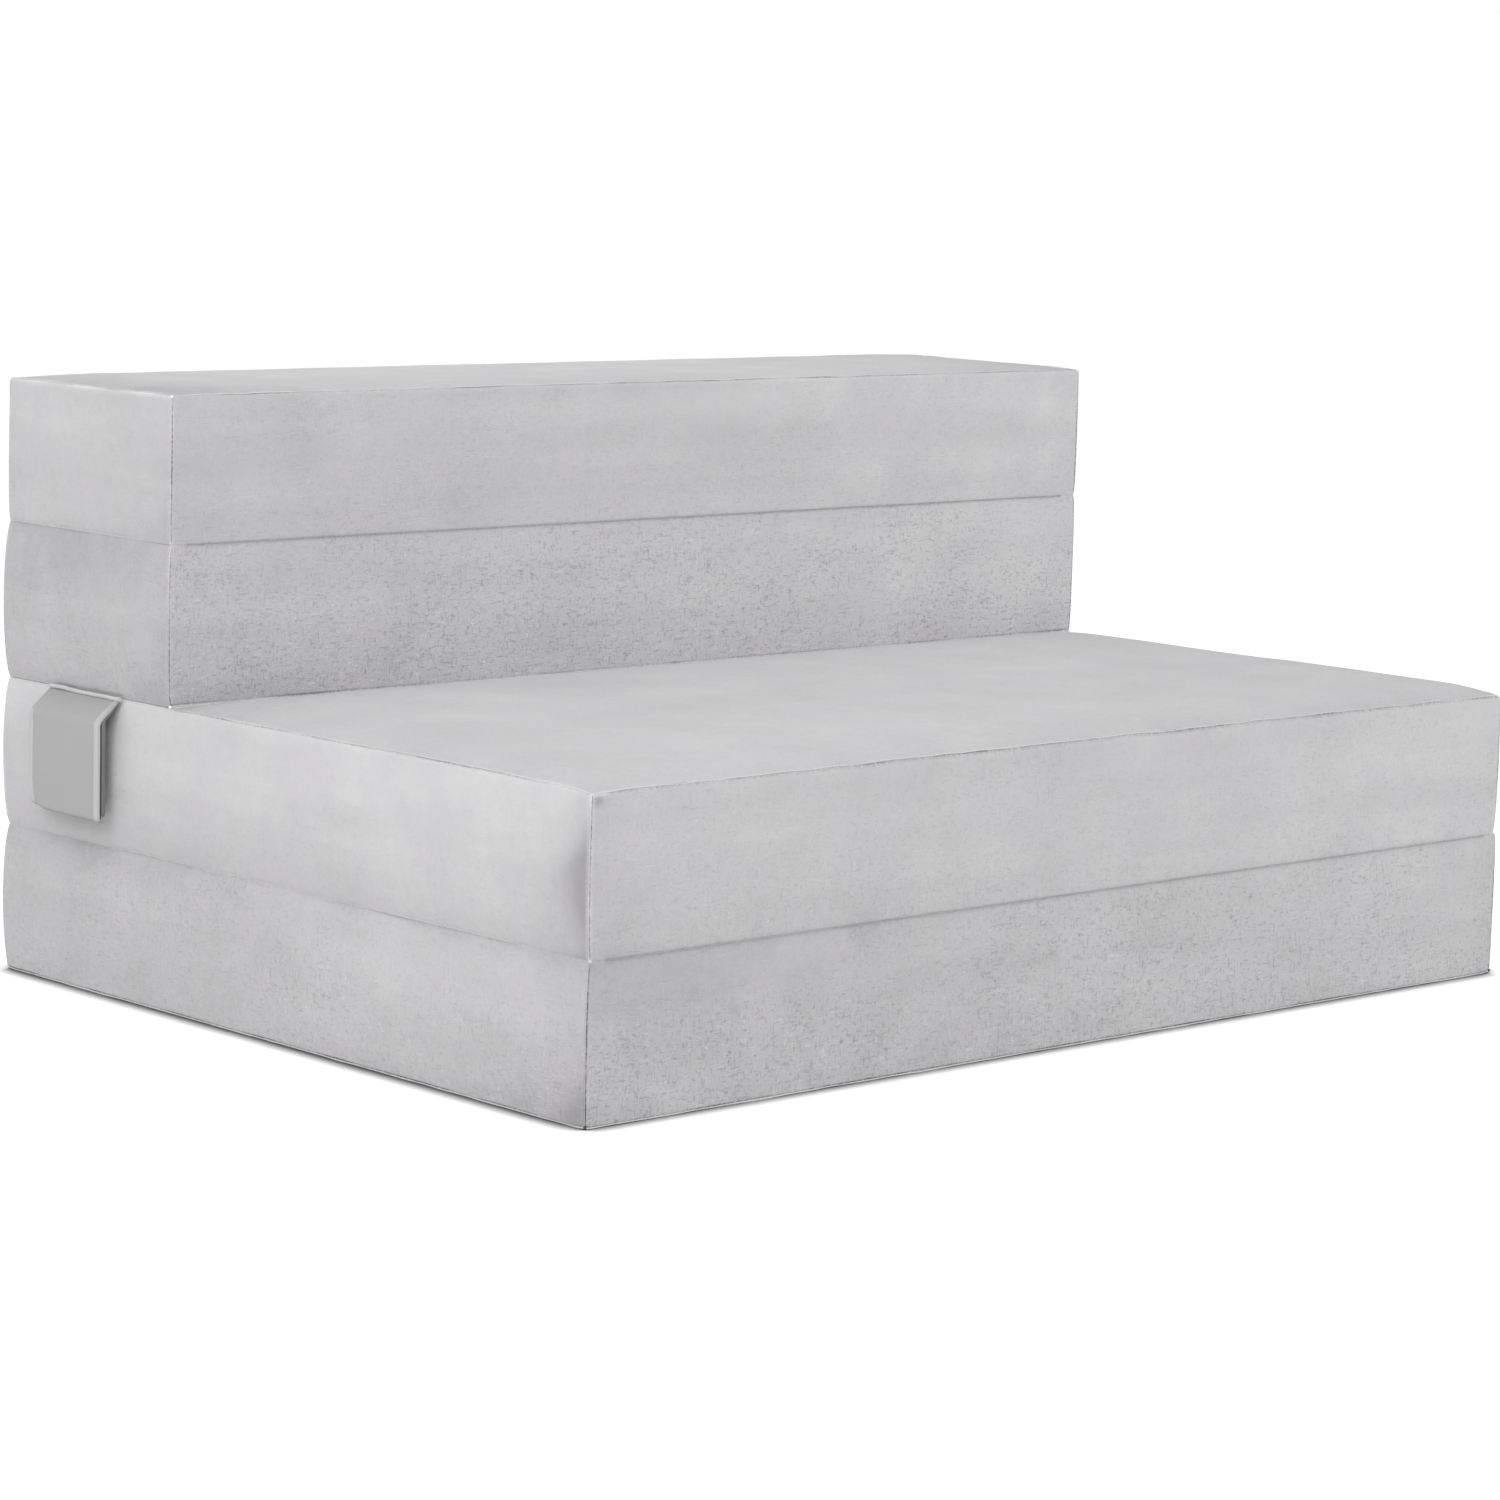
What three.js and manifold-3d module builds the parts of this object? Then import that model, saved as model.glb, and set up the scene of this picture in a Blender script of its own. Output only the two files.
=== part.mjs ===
// A folding mattress that also stands folded as a low sofa. Four foam panels are joined
// edge to edge by fabric hinges: two deep panels lie one on the other as the seat, and two
// narrow ones lie on the back half of them as the backrest. Units are millimetres, +Z is up,
// +X runs to the right along the front edge, and the origin is the middle of the underside.

import * as THREE from 'three';
import * as BufferGeometryUtils from 'three/addons/utils/BufferGeometryUtils.js';
import Module from 'manifold-3d';

const wasm = await Module();
wasm.setup();

// Driving dimensions of the folded mattress
const mattressWidth = 980;
const seatDepth = 700;
const backDepth = 216;
const baseHeight = 115;
const seatHeight = 115;
const lowerBackHeight = 121;
const upperBackHeight = 111.5;
const layerGap = 0.6;

// The cloth cover: its wall, its rounded edges and how its faces swell between the seams
const clothWall = 1.6;
const edgeRound = 3;
const planCornerRound = 3.5;
const seamLip = 7;
const seamGap = 0.3;
const sideDrawnIn = 5;
const endDrawnIn = 0.6;
const cornerDrawnIn = 1.5;
const cornerLength = 14;
const swellPower = 2.6;
const swellLevelShares = [0.12, 0.3, 0.5, 0.7, 0.88];
const crownHeight = 4.5;
const crownPower = 3;
const crownBackMargin = 5;
const crownColumns = 10;
const crownRows = 6;

// The inner sock and the two foam layers
const linerGap = 0.8;
const linerSideGap = 0.8;
const linerWall = 0.6;
const foamGap = 0.3;
const comfortFoamHeight = 25;

// The fabric hinges, each a rolled seam whose middle is the line the panels turn about
const hingeStandOut = 0.5;
const hingeSeamRadius = 1.5;
const hingeEndInset = 15;

// The zip in each panel's right side
const zipCornerClearance = 2;
const zipSlitHeight = 7;
const zipTapeWidth = 22;
const zipTapeThickness = 0.9;
const zipTapeGap = 0.5;
const zipTapeOverrun = 8;
const zipCoilWidth = 3;
const zipCoilStandOut = 0.6;
const zipEndGap = 1;

// The zip's slider and pull
const sliderLength = 12;
const sliderWidth = 8;
const sliderThickness = 3;
const sliderGap = 0.3;
const sliderEndRest = 2;
const earThickness = 1.2;
const earLength = 4.4;
const earRise = 4.5;
const earGap = 0.4;
const pinRadius = 0.8;
const pinHeight = 2.5;
const pullEyeGap = 0.35;
const pullEyeWall = 0.85;
const pullNeckLength = 3.6;
const pullNeckWidth = 3.6;
const pullLength = 26;
const pullWidth = 8;
const pullThickness = 1.3;
const pullEndRound = 3;
const pullEndSteps = 3;

// The carry handle: a cloth loop sewn into the seam at the seat's left top edge
const handleWidth = 95;
const handleFrontMargin = 57.5;
const handleDrop = 93;
const handleReach = 21;
const handleShoulderDrop = 16.5;
const handleLoopDepth = 13;
const handleLeaf = 2.4;
const handleShoulderRound = 9;
const handleRootRadius = 1.3;
const handleInnerShoulderDrop = 16;
const handleInnerReach = 8.5;
const handleArcSteps = 6;

const cutOverrun = 5;
const half = 0.5;
const roundSides = 12;
const fineRoundSides = 16;

// Places worked out from the driving dimensions
const seamHalfWidth = mattressWidth * half - sideDrawnIn;
const frontY = -seatDepth * half;
const rearY = seatDepth * half;
const backFrontY = rearY - backDepth;
const baseTop = baseHeight;
const seatBottom = baseTop + layerGap;
const seatTop = seatBottom + seatHeight;
const lowerBackBottom = seatTop + layerGap;
const lowerBackTop = lowerBackBottom + lowerBackHeight;
const upperBackBottom = lowerBackTop + layerGap;
const frontHinge = { y: frontY - hingeStandOut, z: baseTop + layerGap * half };
const rearHinge = { y: rearY + hingeStandOut, z: seatTop + layerGap * half };
const backHinge = { y: backFrontY - hingeStandOut, z: lowerBackTop + layerGap * half };
const zipEndMargin = cornerLength + zipTapeOverrun + zipCornerClearance;

// The four panels. Comfort foam lies on the face that is slept on when all is unfolded.
const panels = [
  { name: 'base', frontY, rearY, bottom: 0, height: baseHeight, comfortOnTop: true },
  { name: 'seat', frontY, rearY, bottom: seatBottom, height: seatHeight, comfortOnTop: false,
    crownRearY: backFrontY - crownBackMargin },
  { name: 'lower_back', frontY: backFrontY, rearY, bottom: lowerBackBottom, height: lowerBackHeight,
    comfortOnTop: true },
  { name: 'upper_back', frontY: backFrontY, rearY, bottom: upperBackBottom, height: upperBackHeight,
    comfortOnTop: false, crownRearY: rearY - seamLip },
];

const finishes = {
  velour: { color: 0xcbcbce, roughness: 0.95, metalness: 0 },
  handleCloth: { color: 0xb0b0b0, roughness: 0.85, metalness: 0 },
  hingeCloth: { color: 0xbcbcc0, roughness: 0.9, metalness: 0 },
  liner: { color: 0xf2f2ee, roughness: 0.9, metalness: 0 },
  supportFoam: { color: 0xf3ecd2, roughness: 1, metalness: 0 },
  comfortFoam: { color: 0xd9e6f2, roughness: 1, metalness: 0 },
  zipTape: { color: 0x9a9a9e, roughness: 0.7, metalness: 0 },
  zinc: { color: 0xa8a8ac, roughness: 0.35, metalness: 1 },
};

const mattress = new THREE.Group();

function addPart(name, geometry, finish) {
  const mesh = new THREE.Mesh(geometry, new THREE.MeshStandardMaterial(finishes[finish]));
  mesh.name = name;
  mattress.add(mesh);
}

// Meshes and solids

function signedVolume(points, faces) {
  let sum = 0;
  for (const [a, b, c] of faces) {
    sum += new THREE.Vector3().crossVectors(points[a], points[b]).dot(points[c]);
  }
  return sum;
}

function closedGeometry(points, faces) {
  const outward = signedVolume(points, faces) > 0;
  const index = faces.flatMap(([a, b, c]) => (outward ? [a, b, c] : [a, c, b]));
  const geometry = new THREE.BufferGeometry();
  geometry.setAttribute('position', new THREE.Float32BufferAttribute(points.flatMap((p) => p.toArray()), 3));
  geometry.setIndex(index);
  return geometry;
}

function toSolid(geometry) {
  const bare = geometry.clone();
  bare.deleteAttribute('normal');
  bare.deleteAttribute('uv');
  const merged = BufferGeometryUtils.mergeVertices(bare);
  return new wasm.Manifold(new wasm.Mesh({
    numProp: 3,
    vertProperties: new Float32Array(merged.attributes.position.array),
    triVerts: new Uint32Array(merged.index.array),
  }));
}

function toGeometry(solid) {
  const mesh = solid.getMesh();
  const geometry = new THREE.BufferGeometry();
  geometry.setAttribute('position', new THREE.BufferAttribute(new Float32Array(mesh.vertProperties), 3));
  geometry.setIndex(new THREE.BufferAttribute(new Uint32Array(mesh.triVerts), 1));
  return geometry;
}

function join(geometries) {
  return toGeometry(geometries.map(toSolid).reduce((sum, next) => sum.add(next)));
}

function cut(body, ...tools) {
  return toGeometry(tools.reduce((rest, tool) => rest.subtract(toSolid(tool)), toSolid(body)));
}

function boxBetween(low, high) {
  const size = new THREE.Vector3().subVectors(high, low);
  const middle = new THREE.Vector3().addVectors(high, low).multiplyScalar(half);
  return new THREE.BoxGeometry(size.x, size.y, size.z).translate(middle.x, middle.y, middle.z);
}

function point(x, y, z) {
  return new THREE.Vector3(x, y, z);
}

// A section drawn in X and Z, drawn out along Y between two places
function sectionAlongY(outline, lowY, highY) {
  const shape = new THREE.Shape(outline.map(([x, z]) => new THREE.Vector2(x, z)));
  const geometry = new THREE.ExtrudeGeometry(shape, { depth: highY - lowY, bevelEnabled: false });
  return geometry.rotateX(Math.PI * half).translate(0, highY, 0);
}

function roundBarAlong(axis, radius, length, sides) {
  const bar = new THREE.CylinderGeometry(radius, radius, length, sides);
  if (axis === 'x') {
    bar.rotateZ(Math.PI * half);
  }
  if (axis === 'z') {
    bar.rotateX(Math.PI * half);
  }
  return bar;
}

// A plate over a grid of X and Y lines, with its own height at each crossing, above and below
function plate(xs, ys, lowZ, highZ) {
  const points = [];
  const at = {};
  for (const side of ['low', 'high']) {
    at[side] = xs.map((x) => ys.map((y) => {
      points.push(point(x, y, side === 'low' ? lowZ(x, y) : highZ(x, y)));
      return points.length - 1;
    }));
  }
  const faces = [];
  const quad = (a, b, c, d) => faces.push([a, b, c], [a, c, d]);
  const lastX = xs.length - 1;
  const lastY = ys.length - 1;
  for (let i = 0; i < lastX; i += 1) {
    for (let j = 0; j < lastY; j += 1) {
      quad(at.high[i][j], at.high[i + 1][j], at.high[i + 1][j + 1], at.high[i][j + 1]);
      quad(at.low[i][j], at.low[i][j + 1], at.low[i + 1][j + 1], at.low[i + 1][j]);
    }
    quad(at.low[i][0], at.low[i + 1][0], at.high[i + 1][0], at.high[i][0]);
    quad(at.low[i + 1][lastY], at.low[i][lastY], at.high[i][lastY], at.high[i + 1][lastY]);
  }
  for (let j = 0; j < lastY; j += 1) {
    quad(at.low[0][j + 1], at.low[0][j], at.high[0][j], at.high[0][j + 1]);
    quad(at.low[lastX][j], at.low[lastX][j + 1], at.high[lastX][j + 1], at.high[lastX][j]);
  }
  return closedGeometry(points, faces);
}

function evenLines(low, high, steps) {
  return Array.from({ length: steps + 1 }, (_, i) => low + ((high - low) * i) / steps);
}

// The crown of a cushion's open face: full in the middle, level at the seams. On the seat it
// ends where the backrest presses it flat.

function hump(value, low, high) {
  const share = (value - low) / (high - low);
  if (share <= 0 || share >= 1) {
    return 0;
  }
  return 1 - Math.abs(share + share - 1) ** crownPower;
}

function crownAt(panel, x, y) {
  if (panel.crownRearY === undefined) {
    return 0;
  }
  const reachX = seamHalfWidth - seamLip;
  const rise = hump(x, -reachX, reachX) * hump(y, panel.frontY + endDrawnIn + seamLip, panel.crownRearY);
  return crownHeight * rise;
}

function crownLines(panel, outerX, outerFrontY, outerRearY) {
  const reachX = seamHalfWidth - seamLip - seamGap;
  const clothFrontY = panel.frontY + endDrawnIn + seamLip + seamGap;
  const clothRearY = panel.rearY - endDrawnIn - seamLip - seamGap;
  if (panel.crownRearY === undefined) {
    return { xs: [-outerX, outerX], ys: [outerFrontY, outerRearY] };
  }
  const xs = evenLines(-reachX, reachX, crownColumns);
  const ys = evenLines(clothFrontY, Math.min(panel.crownRearY, clothRearY), crownRows);
  if (panel.crownRearY < clothRearY) {
    ys.push(clothRearY);
  }
  return {
    xs: outerX > reachX ? [-outerX, ...xs, outerX] : xs,
    ys: outerFrontY < clothFrontY ? [outerFrontY, ...ys, outerRearY] : ys,
  };
}

// The upper and lower cloths of a panel's cover, each let in level with the side band's lips

function clothPlate(panel, lowZ, crowned) {
  const reachX = seamHalfWidth - seamLip - seamGap;
  const lowY = panel.frontY + endDrawnIn + seamLip + seamGap;
  const highY = panel.rearY - endDrawnIn - seamLip - seamGap;
  const { xs, ys } = crowned ? crownLines(panel, reachX, lowY, highY) : { xs: [-reachX, reachX], ys: [lowY, highY] };
  const rise = (x, y) => (crowned ? crownAt(panel, x, y) : 0);
  return plate(xs, ys, (x, y) => lowZ + rise(x, y), (x, y) => lowZ + clothWall + rise(x, y));
}

// The side band: one closed profile carried round the panel. Between its rounded edges its
// sides swell, most in the middle of their height, and they are drawn in at the seams.

function swell(share) {
  return Math.abs(share + share - 1) ** swellPower;
}

function bandLevel(panel, share, inset) {
  const drawn = swell(share);
  return {
    z: panel.height * share,
    side: mattressWidth * half - sideDrawnIn * drawn - inset,
    sideAtCorner: mattressWidth * half - cornerDrawnIn - (sideDrawnIn - cornerDrawnIn) * drawn - inset,
    end: endDrawnIn * drawn + inset,
    round: planCornerRound - inset,
  };
}

function flatLevel(z, inset) {
  return {
    z,
    side: seamHalfWidth - inset,
    sideAtCorner: seamHalfWidth - inset,
    end: endDrawnIn + inset,
    round: Math.max(planCornerRound - inset, seamGap * half),
  };
}

function bandProfile(panel) {
  const roundMiddle = edgeRound * (1 - Math.SQRT1_2);
  const edgeShare = edgeRound / panel.height;
  const shares = [edgeShare, ...swellLevelShares, 1 - edgeShare];
  const top = panel.height;
  const outer = [
    flatLevel(0, seamLip),
    flatLevel(0, edgeRound),
    flatLevel(roundMiddle, roundMiddle),
    ...shares.map((share) => bandLevel(panel, share, 0)),
    flatLevel(top - roundMiddle, roundMiddle),
    flatLevel(top, edgeRound),
    flatLevel(top, seamLip),
  ];
  const inner = [
    flatLevel(top - clothWall, seamLip),
    flatLevel(top - clothWall, edgeRound),
    ...shares.toReversed().map((share) => bandLevel(panel, share, clothWall)),
    flatLevel(clothWall, edgeRound),
    flatLevel(clothWall, seamLip),
  ];
  return [...outer, ...inner];
}

function bandRing(panel, level) {
  const lowY = panel.frontY + level.end;
  const highY = panel.rearY - level.end;
  const z = panel.bottom + level.z;
  const corners = [
    { x: -level.sideAtCorner, y: lowY, inX: 1, inY: 1, from: 2 },
    { x: level.sideAtCorner, y: lowY, inX: -1, inY: 1, from: 3 },
    { x: level.sideAtCorner, y: highY, inX: -1, inY: -1, from: 0 },
    { x: -level.sideAtCorner, y: highY, inX: 1, inY: -1, from: 1 },
  ];
  const sideYs = [panel.frontY + cornerLength, (panel.frontY + panel.rearY) * half, panel.rearY - cornerLength];
  const between = [
    [point(0, lowY, z)],
    sideYs.map((y) => point(level.side, y, z)),
    [point(0, highY, z)],
    sideYs.toReversed().map((y) => point(-level.side, y, z)),
  ];
  return corners.flatMap((corner, i) => {
    const arc = [0, half, 1].map((turn) => {
      const angle = (corner.from + turn) * Math.PI * half;
      return point(
        corner.x + level.round * (corner.inX + Math.cos(angle)),
        corner.y + level.round * (corner.inY + Math.sin(angle)),
        z,
      );
    });
    return [...arc, ...between[i]];
  });
}

function sideBand(panel) {
  const rings = bandProfile(panel).map((level) => bandRing(panel, level));
  const count = rings[0].length;
  const faces = [];
  rings.forEach((ring, j) => {
    const next = ((j + 1) % rings.length) * count;
    ring.forEach((_, i) => {
      const other = (i + 1) % count;
      faces.push([j * count + i, j * count + other, next + other], [j * count + i, next + other, next + i]);
    });
  });
  return cut(closedGeometry(rings.flat(), faces), zipSlit(panel));
}

// The zip: a coil on its tape, sewn behind a slit half way up the band's right side

function zipPlace(panel) {
  return {
    x: mattressWidth * half,
    z: panel.bottom + panel.height * half,
    lowY: panel.frontY + zipEndMargin,
    highY: panel.rearY - zipEndMargin,
  };
}

function zipSlit(panel) {
  const zip = zipPlace(panel);
  return boxBetween(
    point(zip.x - clothWall - cutOverrun, zip.lowY, zip.z - zipSlitHeight * half),
    point(zip.x + cutOverrun, zip.highY, zip.z + zipSlitHeight * half),
  );
}

function zipTape(panel) {
  const zip = zipPlace(panel);
  const tapeOuter = zip.x - clothWall - zipTapeGap;
  const tapeInner = tapeOuter - zipTapeThickness;
  const tapeHalf = zipTapeWidth * half;
  const tape = boxBetween(
    point(tapeInner, zip.lowY - zipTapeOverrun, zip.z - tapeHalf),
    point(tapeOuter, zip.highY + zipTapeOverrun, zip.z + tapeHalf),
  );
  const coil = boxBetween(
    point(tapeInner + zipTapeThickness * half, zip.lowY + zipEndGap, zip.z - zipCoilWidth * half),
    point(zip.x + zipCoilStandOut, zip.highY - zipEndGap, zip.z + zipCoilWidth * half),
  );
  return join([tape, coil]);
}

// The slider rests at the rear end of its zip, closed

function sliderPlace(panel) {
  const zip = zipPlace(panel);
  return { x: zip.x + sliderGap, y: zip.highY - sliderEndRest - sliderLength * half, z: zip.z };
}

function zipSlider(panel) {
  const place = sliderPlace(panel);
  const lowY = place.y - sliderLength * half;
  const highY = place.y + sliderLength * half;
  const top = place.x + sliderThickness;
  const grooveTop = zipPlace(panel).x + zipCoilStandOut + sliderGap;
  const grooveHalf = zipCoilWidth * half + sliderGap;
  const block = boxBetween(
    point(place.x, lowY, place.z - sliderWidth * half),
    point(top, highY, place.z + sliderWidth * half),
  );
  const groove = boxBetween(
    point(place.x - cutOverrun, lowY - cutOverrun, place.z - grooveHalf),
    point(grooveTop, highY + cutOverrun, place.z + grooveHalf),
  );
  const earInner = pullNeckWidth * half + earGap;
  const ears = [-1, 1].map((side) => {
    const nearZ = place.z + side * earInner;
    const farZ = nearZ + side * earThickness;
    return boxBetween(
      point(top - sliderThickness * half, place.y - earLength * half, Math.min(nearZ, farZ)),
      point(top + earRise, place.y + earLength * half, Math.max(nearZ, farZ)),
    );
  });
  const pin = roundBarAlong('z', pinRadius, (earInner + earThickness * half) * 2, roundSides);
  pin.translate(top + pinHeight, place.y, place.z);
  return join([cut(block, groove), ...ears, pin]);
}

// The pull hangs on the slider's pin by its eye and lies forward along the zip

function zipPull(panel) {
  const place = sliderPlace(panel);
  const pinX = place.x + sliderThickness + pinHeight;
  const eyeHole = pinRadius + pullEyeGap;
  const eye = roundBarAlong('z', eyeHole + pullEyeWall, pullNeckWidth, fineRoundSides);
  const hole = roundBarAlong('z', eyeHole, pullNeckWidth + cutOverrun, fineRoundSides);
  const neckHalf = pullNeckWidth * half;
  const wideHalf = pullWidth * half;
  const tip = -pullLength;
  const leaf = new THREE.Shape();
  leaf.moveTo(-neckHalf, -eyeHole);
  leaf.lineTo(-neckHalf, -pullNeckLength);
  leaf.lineTo(-wideHalf, -pullNeckLength);
  leaf.lineTo(-wideHalf, tip + pullEndRound);
  leaf.absarc(-wideHalf + pullEndRound, tip + pullEndRound, pullEndRound, Math.PI, Math.PI * (1 + half));
  leaf.absarc(wideHalf - pullEndRound, tip + pullEndRound, pullEndRound, -Math.PI * half, 0);
  leaf.lineTo(wideHalf, -pullNeckLength);
  leaf.lineTo(neckHalf, -pullNeckLength);
  leaf.lineTo(neckHalf, -eyeHole);
  const blade = new THREE.ExtrudeGeometry(leaf, {
    depth: pullThickness,
    bevelEnabled: false,
    curveSegments: pullEndSteps,
  });
  blade.translate(0, 0, -pullThickness * half);
  blade.rotateY(Math.PI * half);
  return cut(join([eye, blade]), hole).translate(pinX, place.y, place.z);
}

// Inside the cover: a thin sock, open towards the zip, with the two foam layers in it

function innerBlock(panel, inset, lowZ, highZ, rightX) {
  const leftX = seamHalfWidth - clothWall - linerSideGap - inset;
  const lowY = panel.frontY + endDrawnIn + clothWall + linerSideGap + inset;
  const highY = panel.rearY - endDrawnIn - clothWall - linerSideGap - inset;
  const { xs, ys } = crownLines(panel, leftX, lowY, highY);
  if (rightX !== undefined) {
    xs[xs.length - 1] = rightX;
  }
  return { xs, ys, lowZ, highZ };
}

function crownedBlock(panel, block, crowned) {
  const rise = (x, y) => (crowned ? crownAt(panel, x, y) : 0);
  return plate(block.xs, block.ys, () => block.lowZ, (x, y) => block.highZ + rise(x, y));
}

function linerSock(panel) {
  const lowZ = panel.bottom + clothWall + linerGap;
  const highZ = panel.bottom + panel.height - clothWall - linerGap;
  const outer = innerBlock(panel, 0, lowZ, highZ);
  const openX = outer.xs.at(-1) + cutOverrun;
  const inner = innerBlock(panel, linerWall, lowZ + linerWall, highZ - linerWall, openX);
  return cut(crownedBlock(panel, outer, true), crownedBlock(panel, inner, true));
}

function foamLayers(panel) {
  const inset = linerWall + foamGap;
  const lowZ = panel.bottom + clothWall + linerGap + inset;
  const highZ = panel.bottom + panel.height - clothWall - linerGap - inset;
  const splitZ = panel.comfortOnTop ? highZ - comfortFoamHeight : lowZ + comfortFoamHeight;
  const whole = innerBlock(panel, inset, lowZ, highZ);
  const flat = { ...whole, xs: [whole.xs[0], whole.xs.at(-1)], ys: [whole.ys[0], whole.ys.at(-1)] };
  return {
    lower: crownedBlock(panel, { ...flat, highZ: splitZ - foamGap * half }, false),
    upper: crownedBlock(panel, { ...whole, lowZ: splitZ + foamGap * half }, true),
  };
}

function addPanel(panel) {
  const { name } = panel;
  const { lower, upper } = foamLayers(panel);
  addPart(`${name}_upper_cloth`, clothPlate(panel, panel.bottom + panel.height - clothWall, true), 'velour');
  addPart(`${name}_side_band`, sideBand(panel), 'velour');
  addPart(`${name}_lower_cloth`, clothPlate(panel, panel.bottom, false), 'velour');
  addPart(`${name}_liner`, linerSock(panel), 'liner');
  addPart(`${name}_support_foam`, panel.comfortOnTop ? lower : upper, 'supportFoam');
  addPart(`${name}_comfort_foam`, panel.comfortOnTop ? upper : lower, 'comfortFoam');
  addPart(`${name}_zip`, zipTape(panel), 'zipTape');
  addPart(`${name}_zip_slider`, zipSlider(panel), 'zinc');
  addPart(`${name}_zip_pull`, zipPull(panel), 'zinc');
}

panels.forEach(addPanel);

// The fabric hinges

function addHingeSeam(name, hinge) {
  const length = (seamHalfWidth - hingeEndInset) * 2;
  const seam = roundBarAlong('x', hingeSeamRadius, length, roundSides);
  addPart(name, seam.translate(0, hinge.y, hinge.z), 'hingeCloth');
}

addHingeSeam('front_hinge_seam', frontHinge);
addHingeSeam('rear_hinge_seam', rearHinge);
addHingeSeam('back_hinge_seam', backHinge);

// The carry handle. A wide band of cloth is doubled into a loop: its outer leaf leaves the
// crease under the backrest, slopes out over a shoulder and hangs down, and its inner leaf
// comes back up beside the seat's swelling side.

function arcPoints(middleX, middleZ, radius, from, to) {
  return evenLines(from, to, handleArcSteps).map((angle) => [
    middleX + radius * Math.cos(angle),
    middleZ + radius * Math.sin(angle),
  ]);
}

function ribbonOutline(line, thickness) {
  const sides = line.map(([x, z], i) => {
    const [ax, az] = line[Math.max(i - 1, 0)];
    const [bx, bz] = line[Math.min(i + 1, line.length - 1)];
    const along = new THREE.Vector2(bx - ax, bz - az).normalize();
    const reach = thickness * half;
    return { left: [x - along.y * reach, z + along.x * reach], right: [x + along.y * reach, z - along.x * reach] };
  });
  return [...sides.map((side) => side.left), ...sides.toReversed().map((side) => side.right)];
}

function carryHandle() {
  const rootX = -seamHalfWidth - hingeStandOut;
  const rootZ = rearHinge.z;
  const lowY = backFrontY + handleFrontMargin;
  const highY = lowY + handleWidth;
  const middleY = (lowY + highY) * half;
  const outerX = rootX - handleReach + handleLeaf * half;
  const turn = handleLoopDepth * half - handleLeaf * half;
  const turnX = outerX + turn;
  const turnZ = rootZ - handleDrop + handleLoopDepth * half;
  const shoulderZ = rootZ - handleShoulderDrop;
  const slope = Math.atan2(shoulderZ - rootZ, outerX - rootX);
  const shoulder = arcPoints(outerX + handleShoulderRound, shoulderZ - handleShoulderRound * half,
    handleShoulderRound, slope + Math.PI * (1 + half), Math.PI);
  const outerLeaf = [
    [rootX, rootZ],
    ...shoulder,
    ...arcPoints(turnX, turnZ, turn, Math.PI, Math.PI * 2),
  ];
  const innerLeaf = [
    outerLeaf.at(-1),
    [rootX - handleInnerReach, rootZ - handleInnerShoulderDrop],
    [rootX, rootZ],
  ];
  const root = roundBarAlong('y', handleRootRadius, handleWidth, roundSides).translate(rootX, middleY, rootZ);
  return join([
    sectionAlongY(ribbonOutline(outerLeaf, handleLeaf), lowY, highY),
    sectionAlongY(ribbonOutline(innerLeaf, handleLeaf), lowY, highY),
    root,
  ]);
}

addPart('carry_handle', carryHandle(), 'handleCloth');

export default mattress;
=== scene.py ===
# %% [markdown]
# A folding foam mattress that also stands folded as a low sofa. Its frame is ready: every
# panel, hinge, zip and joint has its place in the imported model, in metres. This lesson dresses
# that frame in cloth. Each cover becomes a swelling velour cushion with sewn edges, the hinges
# become stitched cloth, and the carry loop and the zips get their own fine pieces.
# Shapes are worked out in millimetres, because cloth is cut and sewn in millimetres, and each
# finished mesh is scaled to metres once.

# %% Load the frame
import math
from collections import namedtuple

import bmesh
import bpy
from mathutils import Matrix, Vector, noise


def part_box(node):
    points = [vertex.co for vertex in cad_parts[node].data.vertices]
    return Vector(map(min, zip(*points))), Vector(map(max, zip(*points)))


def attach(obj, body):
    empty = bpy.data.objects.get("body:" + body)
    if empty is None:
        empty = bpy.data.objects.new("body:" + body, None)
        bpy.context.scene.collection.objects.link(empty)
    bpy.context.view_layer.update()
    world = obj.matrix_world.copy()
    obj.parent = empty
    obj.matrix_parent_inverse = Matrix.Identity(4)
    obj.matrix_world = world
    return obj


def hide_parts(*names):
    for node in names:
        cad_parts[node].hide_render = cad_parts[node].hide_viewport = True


MM = 0.001
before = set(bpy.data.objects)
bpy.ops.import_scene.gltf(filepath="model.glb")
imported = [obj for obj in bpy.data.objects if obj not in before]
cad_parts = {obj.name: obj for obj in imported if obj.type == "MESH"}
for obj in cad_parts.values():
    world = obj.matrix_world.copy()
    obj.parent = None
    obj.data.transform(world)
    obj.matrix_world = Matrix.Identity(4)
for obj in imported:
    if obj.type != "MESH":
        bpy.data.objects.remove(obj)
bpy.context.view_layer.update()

# %% [markdown]
# The four panels are read from the frame and not measured again. The side band gives a panel's
# width, depth and height. Where the upper cloth stands above the band, that is the crown, the
# swell of a foam face that nothing rests on. The pile of the velour runs one way on the long
# cloth, so folding it back and forth turns the pile over on every second panel, and those
# panels look a shade darker.

# %% Read the panels
Panel = namedtuple("Panel", "name low high crown crown_rear pile")


def box_mm(node):
    low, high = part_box(node)
    return low / MM, high / MM


def read_panel(name, pile):
    low, high = box_mm(f"{name}_side_band")
    crown = box_mm(f"{name}_upper_cloth")[1].z - high.z
    return Panel(name, low, high, max(crown, 0.0), high.y, pile)


CROWN_BACK_MARGIN_MM = 5.0
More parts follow.
